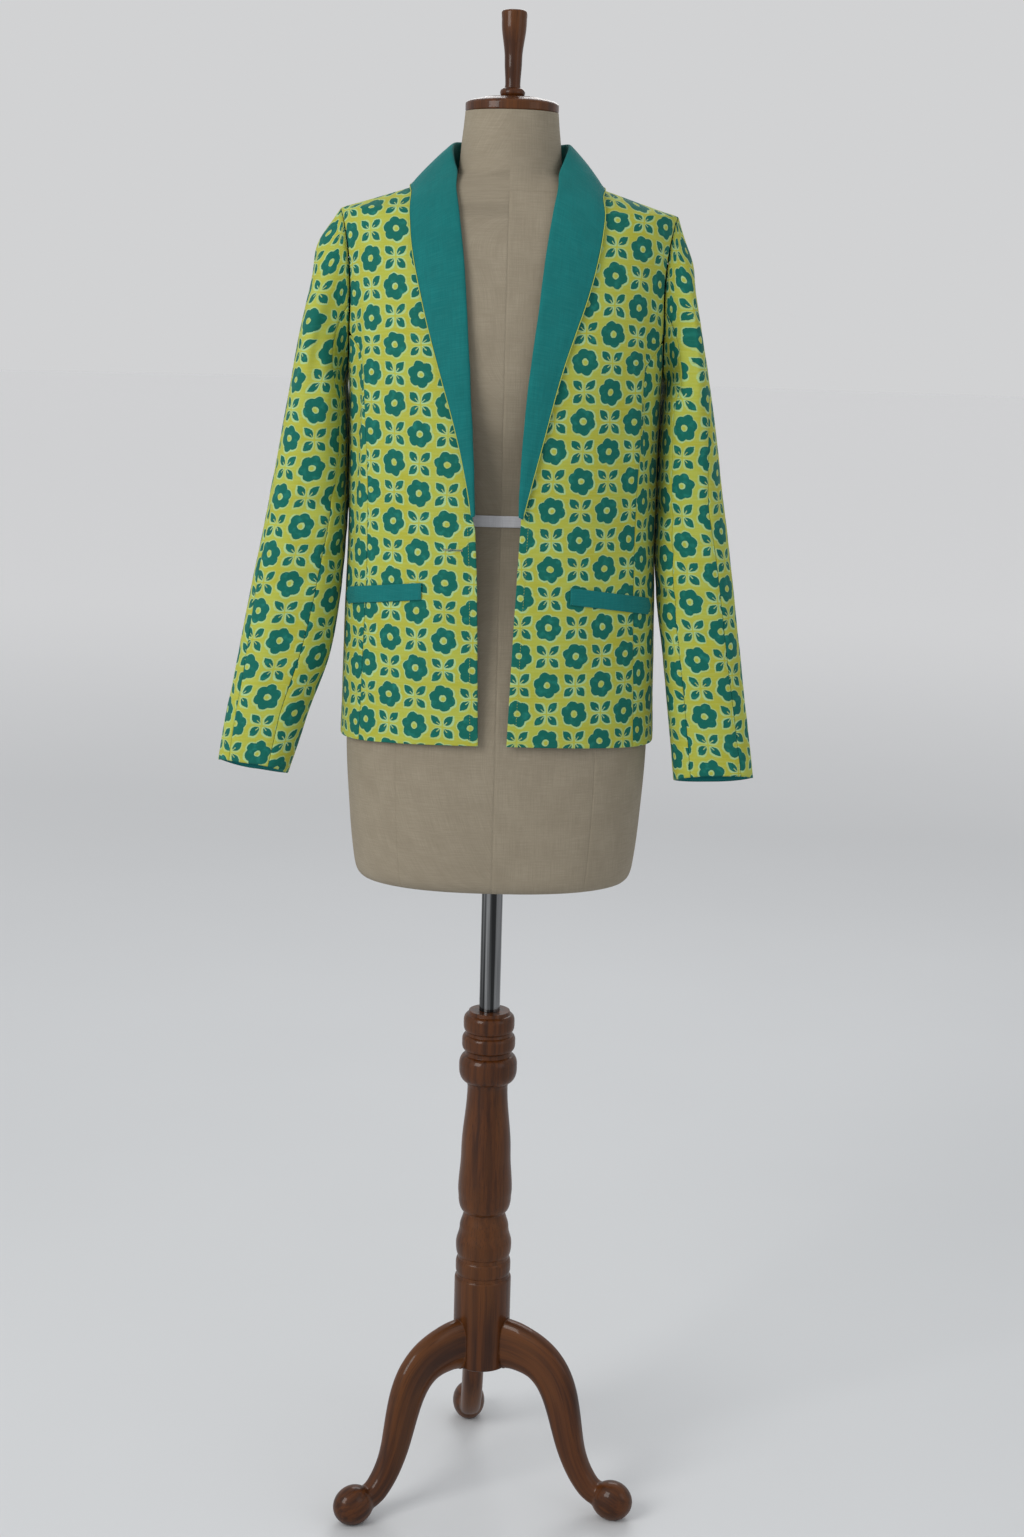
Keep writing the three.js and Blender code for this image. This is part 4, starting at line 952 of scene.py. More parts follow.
# %% The sleeve's surface
class Sleeve:
    """A sleeve's outer surface by angle (0 outside, 90 front) and by share down from the armhole."""

    def __init__(self, shape):
        self.side, self.head, self.cuff = shape["side"], np.array(shape["head"]), shape["cuff"]
        self.outer, self.inner, self.middle, self.deep = curves_of(shape["sections"])
        self.hind, self.fore = curves_of(shape["seams"])
        self.folds = shape["folds"]

    def ring(self, angle, z):
        c, s = np.cos(np.radians(angle)), np.sin(np.radians(angle))
        e = 2 / RING_SQUARE
        half = (self.outer(z) - self.inner(z)) / 2
        x = (self.outer(z) + self.inner(z)) / 2 + half * power(c, e)
        y = self.middle(z) - self.deep(z) * power(s, e)
        return np.stack(np.broadcast_arrays(x, y, z), -1)

    def head_point(self, angle, share):
        turn, z = armhole_turn(angle), armhole_z(angle)
        c = np.cos(np.radians(angle))
        start = cloth(turn, z, 0.3)
        away = torso.normal(turn, z)
        low = away * 0.5 + np.array([0, 0, -0.85])
        level = away * 0.75 + np.array([0.1, 0, -0.55])
        up = np.broadcast_to(self.head, away.shape)
        way = unit(lerp(level, np.where((c > 0)[..., None], up, low), (c * c)[..., None]))
        start = start + way * HEAD_GAP
        end = self.ring(angle, np.full_like(z, SLEEVE_TOP))
        down = unit(self.ring(angle, np.full_like(z, SLEEVE_TOP - 20)) - end)
        span = np.linalg.norm(start - end, axis=-1)
        bend = (share * (1 - share) * span)[..., None]
        s = share[..., None]
        return lerp(start, end, s * s * (3 - 2 * s)) + way * bend * (1 - s) - down * bend * s

    def smooth(self, angle, share):
        angle, share = np.broadcast_arrays(np.asarray(angle, float), np.asarray(share, float))
        head = self.head_point(angle, np.clip(share / HEAD_SHARE, 0, 1))
        c, s = np.cos(np.radians(angle)), np.sin(np.radians(angle))
        low = self.cuff[0] + self.cuff[1] * c + self.cuff[2] * s
        ring = self.ring(angle, lerp(SLEEVE_TOP, low, (share - HEAD_SHARE) / (1 - HEAD_SHARE)))
        return np.where((share < HEAD_SHARE)[..., None], head, ring)

    def fold_at(self, angle, z, share):
        fade = np.clip(share / 0.08, 0, 1) * np.clip((1 - share) / 0.06, 0, 1)
        total = 0
        for at, height, wide, tall, depth, lean in self.folds:
            off = wrapped(angle - at)
            rise = z - height - lean * off
            total = total + depth * np.exp(-((off / wide) ** 2) - (rise / tall) ** 2)
        return fade * total

    def at(self, angle, share, out=0.0):
        point = self.smooth(angle, share)
        away = outward(self.smooth, angle, np.clip(share, 0.004, 0.996), 2, 0.004)
        lift = out + self.fold_at(angle, point[..., 2], share)
        point = point + away * np.asarray(lift)[..., None]
        return point * TO_LEFT[self.side]

    def seams(self, share):
        z = lerp(SHOULDER, self.cuff[0], share)
        return self.hind(z), self.fore(z)


sleeves = {name: Sleeve(shape) for name, shape in SLEEVES.items()}
print("sleeves:", sorted(sleeves))

# %% [markdown]
# Cloth is thicker where its allowances lie under a seam, so the two pieces of each sleeve keep a
# soft ridge beside their seams. The lining shows inside. The print's coordinates run round the
# sleeve at each height, because rows of a block print stay level on a hanging sleeve.

# %% Sleeve pieces
HEAD_ROW, ALL_ROUND = 33, np.arange(-200.0, 561.0, 2.0)
HEAD_AXIS = 186.0  # middle of the sleeve head, from the pole's axis
SHARES = np.concatenate([
    np.linspace(0, HEAD_SHARE, HEAD_ROW + 1), np.linspace(HEAD_SHARE, 1, 92)[1:-1], [0.997, 1.0]
])


def way_round(sleeve, points, angle, middle):
    """How far each point lies round the sleeve at its own height, from the middle column."""
    rings = sleeve.smooth(ALL_ROUND[None, :], SHARES[HEAD_ROW:, None])
    length = distance_run(rings, 1)
    low = np.array([np.interp(a, ALL_ROUND, row) for a, row in zip(angle[HEAD_ROW:], length)])
    start = low[:, middle][:, None]

    def polar(point, near, x_axis):
        x, y = point[..., 0] - x_axis, sleeve.middle(SLEEVE_TOP) - point[..., 1]
        raw = np.degrees(np.arctan2(y, x))
        return near + wrapped(raw - near), np.hypot(x, y)

    axis = (sleeve.outer(SLEEVE_TOP) + sleeve.inner(SLEEVE_TOP)) / 2
    ring_turn, ring_reach = polar(rings[0], ALL_ROUND, axis)
    head = points[:HEAD_ROW] * TO_LEFT[sleeve.side]
    rise = np.clip((head[..., 2] - SLEEVE_TOP) / (SHOULDER - SLEEVE_TOP), 0, 1)
    turn, reach = polar(head, angle[:HEAD_ROW], lerp(axis, HEAD_AXIS, rise))
    base = np.round(turn / 360) * 360
    inward = ((1 - np.cos(np.radians(turn))) / 2) ** 2
    ratio = lerp(reach / np.interp(turn, ring_turn, ring_reach), 1.0, inward)
    at_turn, at_base = (np.interp(way, ring_turn, length[0]) for way in (turn, base))
    high = at_base + (at_turn - at_base) * ratio
    return np.concatenate([high - start[0], low - start])


def sleeve_piece(word, upper, offset, seed):
    """The part of a sleeve between its seams, in front of them or behind."""
    sleeve = sleeves[word]
    hind, fore = sleeve.seams(SHARES)
    first, last = (hind, fore) if upper else (fore, hind + 360)
    reach = np.linalg.norm(sleeve.at(first + 1, SHARES) - sleeve.at(first - 1, SHARES), axis=-1) / 2
    trim = (HALF_GAP + 0.3 * np.clip(1 - SHARES / HEAD_SHARE, 0, 1)) / np.maximum(reach, 0.3)
    columns = spread_columns(40 if upper else 52, 0.006)
    angle = lerp((first + trim)[:, None], (last - trim)[:, None], columns[None, :])
    share = np.broadcast_to(SHARES[:, None], angle.shape)
    points = sleeve.at(angle, share)
    u = distance_run(points, 1)
    middle = points.shape[1] // 2
    across, v = way_round(sleeve, points, angle, middle), points[..., 2] - SLEEVE_TOP
    detail = 0.5 * ripple(u, v, seed, 80) + 0.3 * ripple(u, v, seed + 1, 32) - 0.2
    for distance in (u, u[:, -1:] - u):
        detail = detail + seam_pucker(distance, v, seed + 2)
        detail = detail + 0.3 * np.exp(-(((distance - 6) / 3.5) ** 2))
    fade = np.clip(share / 0.05, 0, 1)
    surface = lambda out: sleeve.at(angle, share, out + detail * fade)
    name = f"{'upper' if upper else 'under'}_sleeve_{word}"
    uv = np.stack([across * sleeve.side, v], -1) + np.array(offset)
    piece = shell(name + "_cloth", surface, angle.shape, uv, COTTON, WALL)
    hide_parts(name)
    return piece, np.stack([across, -v], -1)


arms = {
    "upper_right": sleeve_piece("right", True, (12, 8), 41),
    "under_right": sleeve_piece("right", False, (33, 27), 44),
    "upper_left": sleeve_piece("left", True, (-6, 17), 47),
    "under_left": sleeve_piece("left", False, (22, 2), 50),
}
print("sleeve pieces:", sorted(arms))

# %% [markdown]
# A lined cuff is finished inside with a strip of cotton, sewn to a ring. The photo shows its teal
# where a sleeve opens to the camera. It lies just inside the sleeve's wall.

# %% Cuff facings
FACING_TALL, FACING_WALL, FACING_GAP, SLEEVE_LONG = 34, 1.0, 1.7, 640
FACING_ROWS, FACING_COLUMNS = 9, 96


def cuff_facing(word):
    """The teal strip inside a cuff, as a closed ring just inside the sleeve's wall."""
    sleeve = sleeves[word]
    angle, share = np.broadcast_arrays(
        np.linspace(0, 360, FACING_COLUMNS + 1)[None, :],
        np.linspace(0.998, 1 - FACING_TALL / SLEEVE_LONG, FACING_ROWS)[:, None],
    )
    u = distance_run(sleeve.at(angle, share), 1)
    v = np.broadcast_to(np.linspace(0, FACING_TALL, FACING_ROWS)[:, None], u.shape)
    wave = 0.12 * ripple(u, v, 61 + sleeve.side, 23)
    wave = wave * np.sin(np.radians(angle) / 2) ** 2
    surface = lambda out: sleeve.at(angle, share, out + wave - WALL - FACING_GAP)[:, :-1]
    rim = np.zeros(u.shape)
    rim[[0, -1]] = 0.25
    name = f"cuff_facing_{word}"
    flat = np.stack([u, v], -1)[:, :-1]
    outer, inner = surface(-rim), surface(rim - FACING_WALL)
    piece = ring_band(name + "_cloth", outer, inner, flat, mat_teal)
    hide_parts(name)
    return piece, float(u[:, -1].mean())


facings = {word: cuff_facing(word) for word in sleeves}
print("facings, mm round:", {word: round(length) for word, (_, length) in facings.items()})

# %% [markdown]
# ## Collar
# A shawl collar is cut in one with its stand and joined at the centre back. It stands against the
# neck, rolls over and falls on the fronts and the back. Each half is one curved sheet, so the lapel
# narrows evenly to the point where it starts to turn.

# %% The collar's surface
def collar_curves(side):
    """Turn and height of the roll line and of the edge, by station."""
    rows = [
        (float(turn_at_width(x_roll, z_roll)), z_roll, float(turn_at_width(x_edge, z_edge)), z_edge)
        for z_roll, x_roll, z_edge, x_edge in COLLAR_FRONT[side]
    ]
    return curves_of(numbered(rows + COLLAR_NECK[side]))


NECK_START = len(COLLAR_FRONT[1]) - 1
LAST_STATION = NECK_START + len(COLLAR_NECK[1])
ROLL_LIFT, NECK_LIFT, EDGE_LIFT = 4.4, 3.3, 3.2  # of the collar's middle surface over the cloth
COLLAR_WALL, PIPING, STITCH_INSET = 1.4, 0.5, 4.0
ROLL_REACH = 6  # cloth taken into the roll on each side


def collar_grid(side, index, across):
    """Middle surface of one half, on the wearer's left: across runs from foot to edge."""
    turn_roll, z_roll, turn_edge, z_edge = (curve(index)[:, None] for curve in collar_curves(side))
    rise = smooth_step((index - NECK_START + 1.6) / 2.6)[:, None]
    roll_lift = lerp(ROLL_LIFT, NECK_LIFT, rise)
    roll = cloth(turn_roll, z_roll, roll_lift)
    z_foot = np.minimum(lerp(z_roll, neckline(turn_roll) + 3, rise), z_roll - 3 * rise)
    foot = cloth(turn_roll, z_foot, lerp(1.1, 1.6, rise))
    edge = cloth(turn_edge, z_edge, EDGE_LIFT)
    control = (roll + edge) / 2 + torso.normal(turn_edge, z_edge) * (5 * rise)[..., None]

    def fall(s):
        lift = lerp(roll_lift, EDGE_LIFT, s) + 2.4 * s * (1 - s)
        on_body = cloth(lerp(turn_roll, turn_edge, s), lerp(z_roll, z_edge, s), lift)
        k = s[..., None]
        free = lerp(lerp(roll, control, k), lerp(control, edge, k), k)
        return lerp(on_body, free, rise[..., None])

    width = np.linalg.norm(roll - edge, axis=-1)
    bend = np.clip(ROLL_REACH / width, 0, 0.45)
    stretch = np.linalg.norm(foot - roll, axis=-1)
    inner = roll + (foot - roll) * np.clip(ROLL_REACH / stretch, 0, 0.6)[..., None]
    start = fall(bend)
    low, high = across[across < 0], across[across >= 1]
    mid = across[(across >= 0) & (across < 1)]
    stand = lerp(foot, inner, (low + 1)[None, :, None])
    k = mid[None, :, None]
    turnover = lerp(lerp(inner, roll, k), lerp(roll, start, k), k)
    over = fall(lerp(bend, 1, (high - 1)[None, :]))
    return np.concatenate([stand, turnover, over], axis=1)


print("stations along the collar:", LAST_STATION + 1)

# %% [markdown]
# Pressed and interfaced cloth lies smoother than the cloth below it, so the grid is eased along its
# length. A thin lime edge runs round the collar, and the stitching's line is found inside it.

# %% Collar halves
COLLAR_INDEX = np.linspace(0, LAST_STATION - 0.006, 150)
ON_ROLL = 12  # the column that measures the length
COLLAR_ACROSS = np.concatenate([
    [-1, -0.9], np.linspace(-0.7, -0.15, 4), np.linspace(0, 0.9, 9), np.linspace(1, 1.97, 24), [2.0]
])


def eased(points, reach):
    """Soften a grid along its length, with its two ends held."""
    weights = np.hanning(2 * reach + 3)[1:-1]
    weights = weights / weights.sum()
    low = 2 * points[:1] - points[reach:0:-1]
    high = 2 * points[-1:] - points[-2:-reach - 2:-1]
    padded = np.concatenate([low, points, high])
    return sum(w * padded[k:k + len(points)] for k, w in enumerate(weights))


def collar_half(word, side):
    base = eased(collar_grid(side, COLLAR_INDEX, COLLAR_ACROSS), 9)
    normal = unit(np.cross(np.gradient(base, axis=0), np.gradient(base, axis=1)))
    run, over = distance_run(base[:, ON_ROLL], 0), distance_run(base, 1)
    flat = np.stack([over, np.broadcast_to(run[:, None], over.shape)], -1)
    u, v = flat[..., 0], flat[..., 1]
    soft = 0.45 * ripple(u, v, 71 + side, 60) + 0.22 * ripple(u, v, 73 + side, 22)
    soft = soft + 0.3 * np.exp(-(((over[:, -1:] - u - 5) / 3) ** 2))
    mirror = TO_LEFT[side]
    surface = lambda out: (base + normal * (COLLAR_WALL / 2 + out + soft)[..., None]) * mirror
    name = f"collar_{word}"
    uv = flat + np.array([0, 40 * side])
    piece = shell(
        name + "_cloth", surface, u.shape, uv, TEAL_CLOTH, COLLAR_WALL, rim=0.35
    )
    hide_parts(name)
    edge = base[:, -1] + unit(base[:, -1] - base[:, -3]) * 0.15 - normal[:, -1] * 0.75
    line = tube(f"collar_piping_{word}", edge[2:] * mirror, PIPING, mat_edge)
    inset = over[:, -1] - STITCH_INSET
    raised = base + normal * 0.72
    seam = [
        [np.interp(inset[i], u[i], raised[i, :, k]) for k in range(3)] for i in range(3, len(inset) - 1)
    ]
    return piece, line, flat, np.array(seam) * mirror


collars = {word: collar_half(word, side) for word, side in (("left", 1), ("right", -1))}
for word, part in collars.items():
    print("collar half", word, round(float(part[2][-1, 0, 1])), "mm long")

# %% [markdown]
# ## Welt pockets
# A welt is a folded strip of the collar's cloth, sewn over the pocket's slit. It lies on the front
# and slopes down to the side, so it is drawn on the front's own surface, a little above it.

# %% Welts
# Side, then half width and height of the inner and of the outer end
WELTS = {"left": (1, (79, 1137), (172, 1120)), "right": (-1, (86.5, 1138), (175, 1123))}
WELT_TALL, WELT_WALL, WELT_LIFT = 19, 1.1, 1.75


def welt(word):
    """A strip on a front, with its outer end cut on a slant."""
    side, start, end = WELTS[word]
    s = spread_columns(44)[None, :]
    t = np.concatenate([[0, 0.03], np.linspace(0.12, 0.88, 7), [0.97, 1]])[:, None]
    z = lerp(start[1], end[1], s) + (t - 0.5) * WELT_TALL
    tuck = 6 * np.abs(t - 0.5)
    turn = side * lerp(turn_at_width(start[0], z), turn_at_width(end[0] - tuck, z), s)
    length = girth(0.0, turn, z)
    flat = np.stack([length, z], -1)
    puff = 0.35 * np.sin(np.pi * t) * np.ones_like(s) + 0.15 * ripple(length, z, 81 + side, 30)
    surface = lambda out: cloth(turn, z, out + WELT_LIFT + puff)
    name = f"welt_{word}"
    piece = shell(
        name + "_cloth", surface, turn.shape, flat, TEAL_CLOTH, WELT_WALL, rim=0.35
    )
    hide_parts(name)
    return piece, flat


welts = {word: welt(word) for word in WELTS}
print("welts:", sorted(welts))

# %% [markdown]
# ## Dress form
# A padded form is covered with linen panels, sewn together and pulled tight. Sunk seams run down
# the centre, over the princess lines and at the sides, and one goes round the neck, where the
# panels end. Columns and rows of points stand close beside the seams, so that they stay crisp.

# %% The form's cover
SEAM_TURNS = [0, 36.5, 90, 143.5, 180, 216.5, 270, 323.5]
NECK_SEAM, SEAM_FOOT = 1576, 792


def form_turns():
    offsets = np.array([-0.7, -0.4, -0.2, 0, 0.2, 0.4, 0.7])
    seams = np.concatenate([seam + offsets for seam in SEAM_TURNS])
    plain = [t for t in np.arange(0, 360, 3.0) if np.min(np.abs(wrapped(seams - t))) > 1.2]
    return np.unique(np.round(np.concatenate([seams % 360, plain]), 4))


def seam_groove(turn, z):
    nearest = np.min([np.abs(wrapped(turn - seam)) for seam in SEAM_TURNS], axis=0)
    off = nearest * degree_length(form, turn, z)
    along = (z < NECK_SEAM) * (z > SEAM_FOOT)
    groove = -0.3 * np.exp(-((off / 0.65) ** 2)) + 0.18 * np.exp(-(((off - 2.2) / 1.4) ** 2))
    ring = np.abs(z - NECK_SEAM)
    neck = 0.15 * np.exp(-(((ring - 2.4) / 1.3) ** 2))
    return groove * along - 0.5 * np.exp(-((ring / 0.8) ** 2)) + neck


turns = form_turns()
levels = np.unique(np.concatenate([
    [789, 789.4, 790, 791, 792.5, 794.5, 796.5, 800, 805],
    np.arange(812, 1540, 8.0), np.arange(1540, 1600, 3.0),
    NECK_SEAM + np.array([-2.4, -1.6, -0.8, -0.4, 0, 0.4, 0.8, 1.6, 2.4]),
    np.arange(1600, 1663, 6.0), [1662.5, 1664],
]))
turn_grid, z_grid = np.meshgrid(turns, levels)
relief = seam_groove(turn_grid, z_grid) - 0.1
relief[[0, -1]] = 0
skin = form.at(turn_grid, z_grid) + form.normal(turn_grid, z_grid) * relief[..., None]
hubs = np.array([skin[0].mean(0), skin[-1].mean(0)])
u = distance_run(np.concatenate([skin, skin[:, :1]], axis=1), 1)[:, :-1]
form_uv = np.concatenate([np.stack([u, z_grid], -1).reshape(-1, 2), [[0, 780], [0, 1670]]])
form_body = new_mesh(
    "form_body_cover", np.concatenate([skin.reshape(-1, 3), hubs]), capped_faces(*turn_grid.shape),
    [mat_linen], uv=form_uv,
)
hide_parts("form_body")
print("form:", len(form_body.data.polygons), "faces")

# %% [markdown]
# A satin tape is pinned round the form to mark the waist for the dressmaker. It is a closed band
# that lies on the cover and waves a little.

# %% Waist tape
TAPE_LONG, TAPE_TALL = 680, 13


def waist_tape():
    t, z = np.broadcast_arrays(
        np.linspace(0, 360, 181)[:-1][None, :],
        np.array([1209, 1209.6, 1211, 1214, 1217, 1220, 1221.4, 1222])[:, None],
    )
    edge = np.zeros(t.shape)
    edge[[0, -1]] = 0.3
    wave = 0.15 * np.sin(np.radians(t * 7)) * np.sin(np.radians(t * 3 + 40))
    grid = lambda out: form.at(t, z) + form.normal(t, z) * out[..., None]
    outer, inner = grid(1.7 - edge + wave), grid(0.8 + edge * 0.3 + wave)
    flat = np.stack([t / 360 * TAPE_LONG, z], -1)
    return ring_band("waist_tape_band", outer, inner, flat, mat_tape)


tape = waist_tape()
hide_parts("waist_tape")
print("tape:", len(tape.data.polygons), "faces")

# %% [markdown]
# ## Turned wood and the legs
# The cap, handle and column are turned on a lathe, so a profile swept round the axis gives them.
# They have the CAD's profiles, with more steps in each round and hollow. The pole is a plain drawn
# tube, so its CAD solid stays and only takes a material.

# %% Turned pieces
# How a row goes on to the next one: radius and height run by these shares of the way
RUNS = {
    "round": lambda s: (math.sin(math.pi * s / 2), 1 - math.cos(math.pi * s / 2)),
    "tuck": lambda s: (1 - math.cos(math.pi * s / 2), math.sin(math.pi * s / 2)),
    "ease": lambda s: ((1 - math.cos(math.pi * s)) / 2, s),
    "line": lambda s: (s, s),
}
STEPS = 9


def profile(rows):
    """Radius and height along a turned outline."""
    points = []
    for (z, diameter, run), (next_z, next_diameter, _) in zip(rows, rows[1:]):
        points.append((diameter / 2, z))
        for k in range(1, STEPS):
            r, h = RUNS[run](k / STEPS)
            points.append((lerp(diameter, next_diameter, r) / 2, lerp(z, next_z, h)))
    points.append((rows[-1][1] / 2, rows[-1][0]))
    return np.array(points)


def turned(name, node, rows, segments=72):
    line = profile(rows)
    foot, head = ([(end[0] * k, end[1]) for k in (0.5, 0.97)] for end in line[[0, -1]])
    closed = np.concatenate([foot, line, head[::-1]])
    a = np.linspace(0, math.tau, segments, endpoint=False)
    height = np.broadcast_to(closed[:, 1:], (len(closed), segments))
    rings = np.stack([closed[:, :1] * np.cos(a), closed[:, :1] * np.sin(a), height], -1)
    points = np.concatenate([rings.reshape(-1, 3), [[0, 0, closed[0, 1]], [0, 0, closed[-1, 1]]]])
    shift = np.array([3.0 * len(name), 17.0, 5.0 * len(name)])
    faces = capped_faces(len(closed), segments)
    piece = new_mesh(name, points, faces, [mat_wood], grain=points + shift)
    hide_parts(node)


# Height, diameter and run of each row
turned("neck_cap_turned", "neck_cap", [
    (1664.3, 103.1, "line"), (1665.5, 104.6, "line"), (1672, 104.6, "tuck"), (1677, 84, "ease"),
    (1680, 62, "line"),
])
turned("cap_handle_turned", "cap_handle", [
    (1680.3, 20, "round"), (1685.5, 28, "tuck"), (1690.5, 18, "line"), (1694, 17, "ease"),
    (1720, 19.5, "ease"), (1762, 28, "ease"), (1771, 28.8, "tuck"), (1774, 21, "line"),
])
turned("column_turned", "column", [
    (165, 63.5, "round"), (168, 69.5, "line"), (276, 69.5, "tuck"), (280, 66, "line"),
    (284, 64.3, "round"), (290.5, 67.5, "line"), (296, 67.5, "tuck"), (303, 63, "line"),
    (307.5, 62.9, "round"), (322, 68.3, "ease"), (343, 60, "ease"), (364, 50.7, "round"),
    (383, 64.5, "line"), (391, 66, "ease"), (440, 60.5, "ease"), (524, 48.7, "line"),
    (530, 52, "round"), (546, 70.2, "line"), (552, 70.2, "tuck"), (564, 56, "line"), (569, 54, "round"),
    (577, 64.3, "line"), (583, 64.3, "tuck"), (589.5, 56, "line"), (593, 54, "round"),
    (601, 61.5, "line"), (607, 61.5, "tuck"), (615, 51, "line"), (619, 49, "line"),
], segments=96)
pole = frame["nodes"]["pole"].data
pole.materials.clear()
pole.materials.append(mat_chrome)
pole.polygons.foreach_set("use_smooth", [True] * len(pole.polygons))
print("turned pieces done")

# %% [markdown]
# Each leg is sawn to a curve, rounded and carved into a foot, and it is doweled to the column. So a
# rounded section is swept along the curve and a ball stands for the foot. A voxel remesh joins the
# two, and a few smoothing passes leave a carved fillet between them. The leg then meets the round
# block and the flat floor exactly. One mesh serves for all three, as one pattern would.

# %% Legs
# Height, reach from the axis and half height of the section
LEG = [
    (26, 196, 32.5), (42, 195.5, 31), (60, 192, 29), (79, 184, 27), (96, 168, 25), (107, 147, 23),
    (114, 124, 21), (119, 103, 19.3), (124, 83, 17.5), (130, 66, 16), (140, 47, 14.8), (154, 31, 14),
    (169, 24.5, 14),
]
LEG_ANGLES = {"leg_right": 215, "leg_left": 335, "leg_rear": 95}


LEG_SQUARE, LEG_HALF, LEG_SIDES = 2.7, 13.5, 40
BALL, BALL_AT, BALL_RINGS = 24.5, (182, 0, 22.6), 23
BLOCK_RADIUS, VOXEL = 35.05, 0.0016


def leg_line(count):
    t = np.linspace(0, len(LEG) - 1, count)
    return np.stack([curve(t) for curve in curves_of(numbered(LEG))], -1)


def leg_blank():
    """The leg in its own plane: reach along X, height along Z."""
    line = leg_line(70)
    way = unit(np.gradient(line[:, :2], axis=0))
    a = np.linspace(0, math.tau, LEG_SIDES, endpoint=False)
    up = line[:, 2:] * power(np.sin(a), 2 / LEG_SQUARE)[None, :]
    out = LEG_HALF * power(np.cos(a), 2 / LEG_SQUARE)[None, :] * np.ones((len(line), 1))
    rings = np.stack([line[:, :1] - way[:, 1:] * up, out, line[:, 1:2] + way[:, :1] * up], -1)
    leg = np.concatenate([rings.reshape(-1, 3), rings[0].mean(0)[None], rings[-1].mean(0)[None]])
    theta, phi = np.meshgrid(np.linspace(0, math.pi, BALL_RINGS + 2)[1:-1], a, indexing="ij")
    ball = np.stack([np.sin(theta) * np.cos(phi), np.sin(theta) * np.sin(phi), np.cos(theta)], -1)
    ball = np.concatenate([ball.reshape(-1, 3), [[0, 0, 1], [0, 0, -1]]])
    ball = ball * [BALL * 1.06, BALL * 0.86, BALL] + list(BALL_AT)
    caps = capped_faces(BALL_RINGS, LEG_SIDES, len(leg), True)
    return np.concatenate([leg, ball]), capped_faces(len(line), LEG_SIDES) + caps


def evaluated_mesh(item):
    """The mesh that an object's modifiers give; the object itself goes."""
    depsgraph = bpy.context.evaluated_depsgraph_get()
    mesh = bpy.data.meshes.new_from_object(item.evaluated_get(depsgraph))
    bpy.data.objects.remove(item)
    return mesh


def fused_leg():
    points, faces = leg_blank()
    mesh = bpy.data.meshes.new("leg_blank")
    mesh.from_pydata((points / 1000).tolist(), [], [list(map(int, face)) for face in faces])
    blank = add_object("leg_blank", mesh)
    remesh = blank.modifiers.new("remesh", "REMESH")
    remesh.mode, remesh.voxel_size, remesh.use_smooth_shade = "VOXEL", VOXEL, True
    smooth = blank.modifiers.new("smooth", "SMOOTH")
    smooth.factor, smooth.iterations = 0.5, 6
    shaped = evaluated_mesh(blank)
    co = np.zeros(len(shaped.vertices) * 3)
    shaped.vertices.foreach_get("co", co)
    co = co.reshape(-1, 3) * 1000
    polygons = [list(p.vertices) for p in shaped.polygons]
    bpy.data.meshes.remove(shaped)
    co[:, 2] = np.maximum(co[:, 2], 0)
    radius = np.hypot(co[:, 0], co[:, 1])
    co[:, :2] *= np.where(radius < BLOCK_RADIUS, BLOCK_RADIUS / np.maximum(radius, 1), 1)[:, None]
    return co, polygons


def leg_grain(co):
    """Across, up and along the leg's curve, so that the figure follows it."""
    line = leg_line(220)[:, :2]
    length = distance_run(line, 0)
    way = unit(np.gradient(line, axis=0))
    nearest = np.argmin(((co[:, None, [0, 2]] - line[None]) ** 2).sum(-1), axis=1)
    off = co[:, [0, 2]] - line[nearest]
    side = off[:, 0] * -way[nearest, 1] + off[:, 1] * way[nearest, 0]
    return np.stack([co[:, 1], side, length[nearest]], -1)


leg_points, leg_faces = fused_leg()
grain = leg_grain(leg_points)
for number, (name, angle) in enumerate(LEG_ANGLES.items()):
    c, s = math.cos(math.radians(angle)), math.sin(math.radians(angle))
    placed = leg_points @ np.array([[c, s, 0], [-s, c, 0], [0, 0, 1]])
    shifted = grain + [31 * number, 7, 90 * number]
    piece = new_mesh(f"{name}_carved", placed, leg_faces, [mat_wood], grain=shifted)
    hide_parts(name)
print("leg:", len(leg_faces), "faces each")

# %% [markdown]
# ## Stitches
# Topstitching holds an edge flat and shows as short beads of thread. One Geometry Nodes group sets
# such beads along any line, so every row of them is made alike. The result becomes a plain mesh, so
# no modifier stays.

# %% Stitch group
stitch_group = bpy.data.node_groups.new("stitch_row", "GeometryNodeTree")
stitch_group.interface.new_socket("Line", in_out="INPUT", socket_type="NodeSocketGeometry")
for label, kind in {
    "Spacing": "Float", "Length": "Float", "Thickness": "Float", "Seed": "Int", "Thread": "Material"
}.items():
    stitch_group.interface.new_socket(label, in_out="INPUT", socket_type=f"NodeSocket{kind}")
stitch_group.interface.new_socket("Stitches", in_out="OUTPUT", socket_type="NodeSocketGeometry")


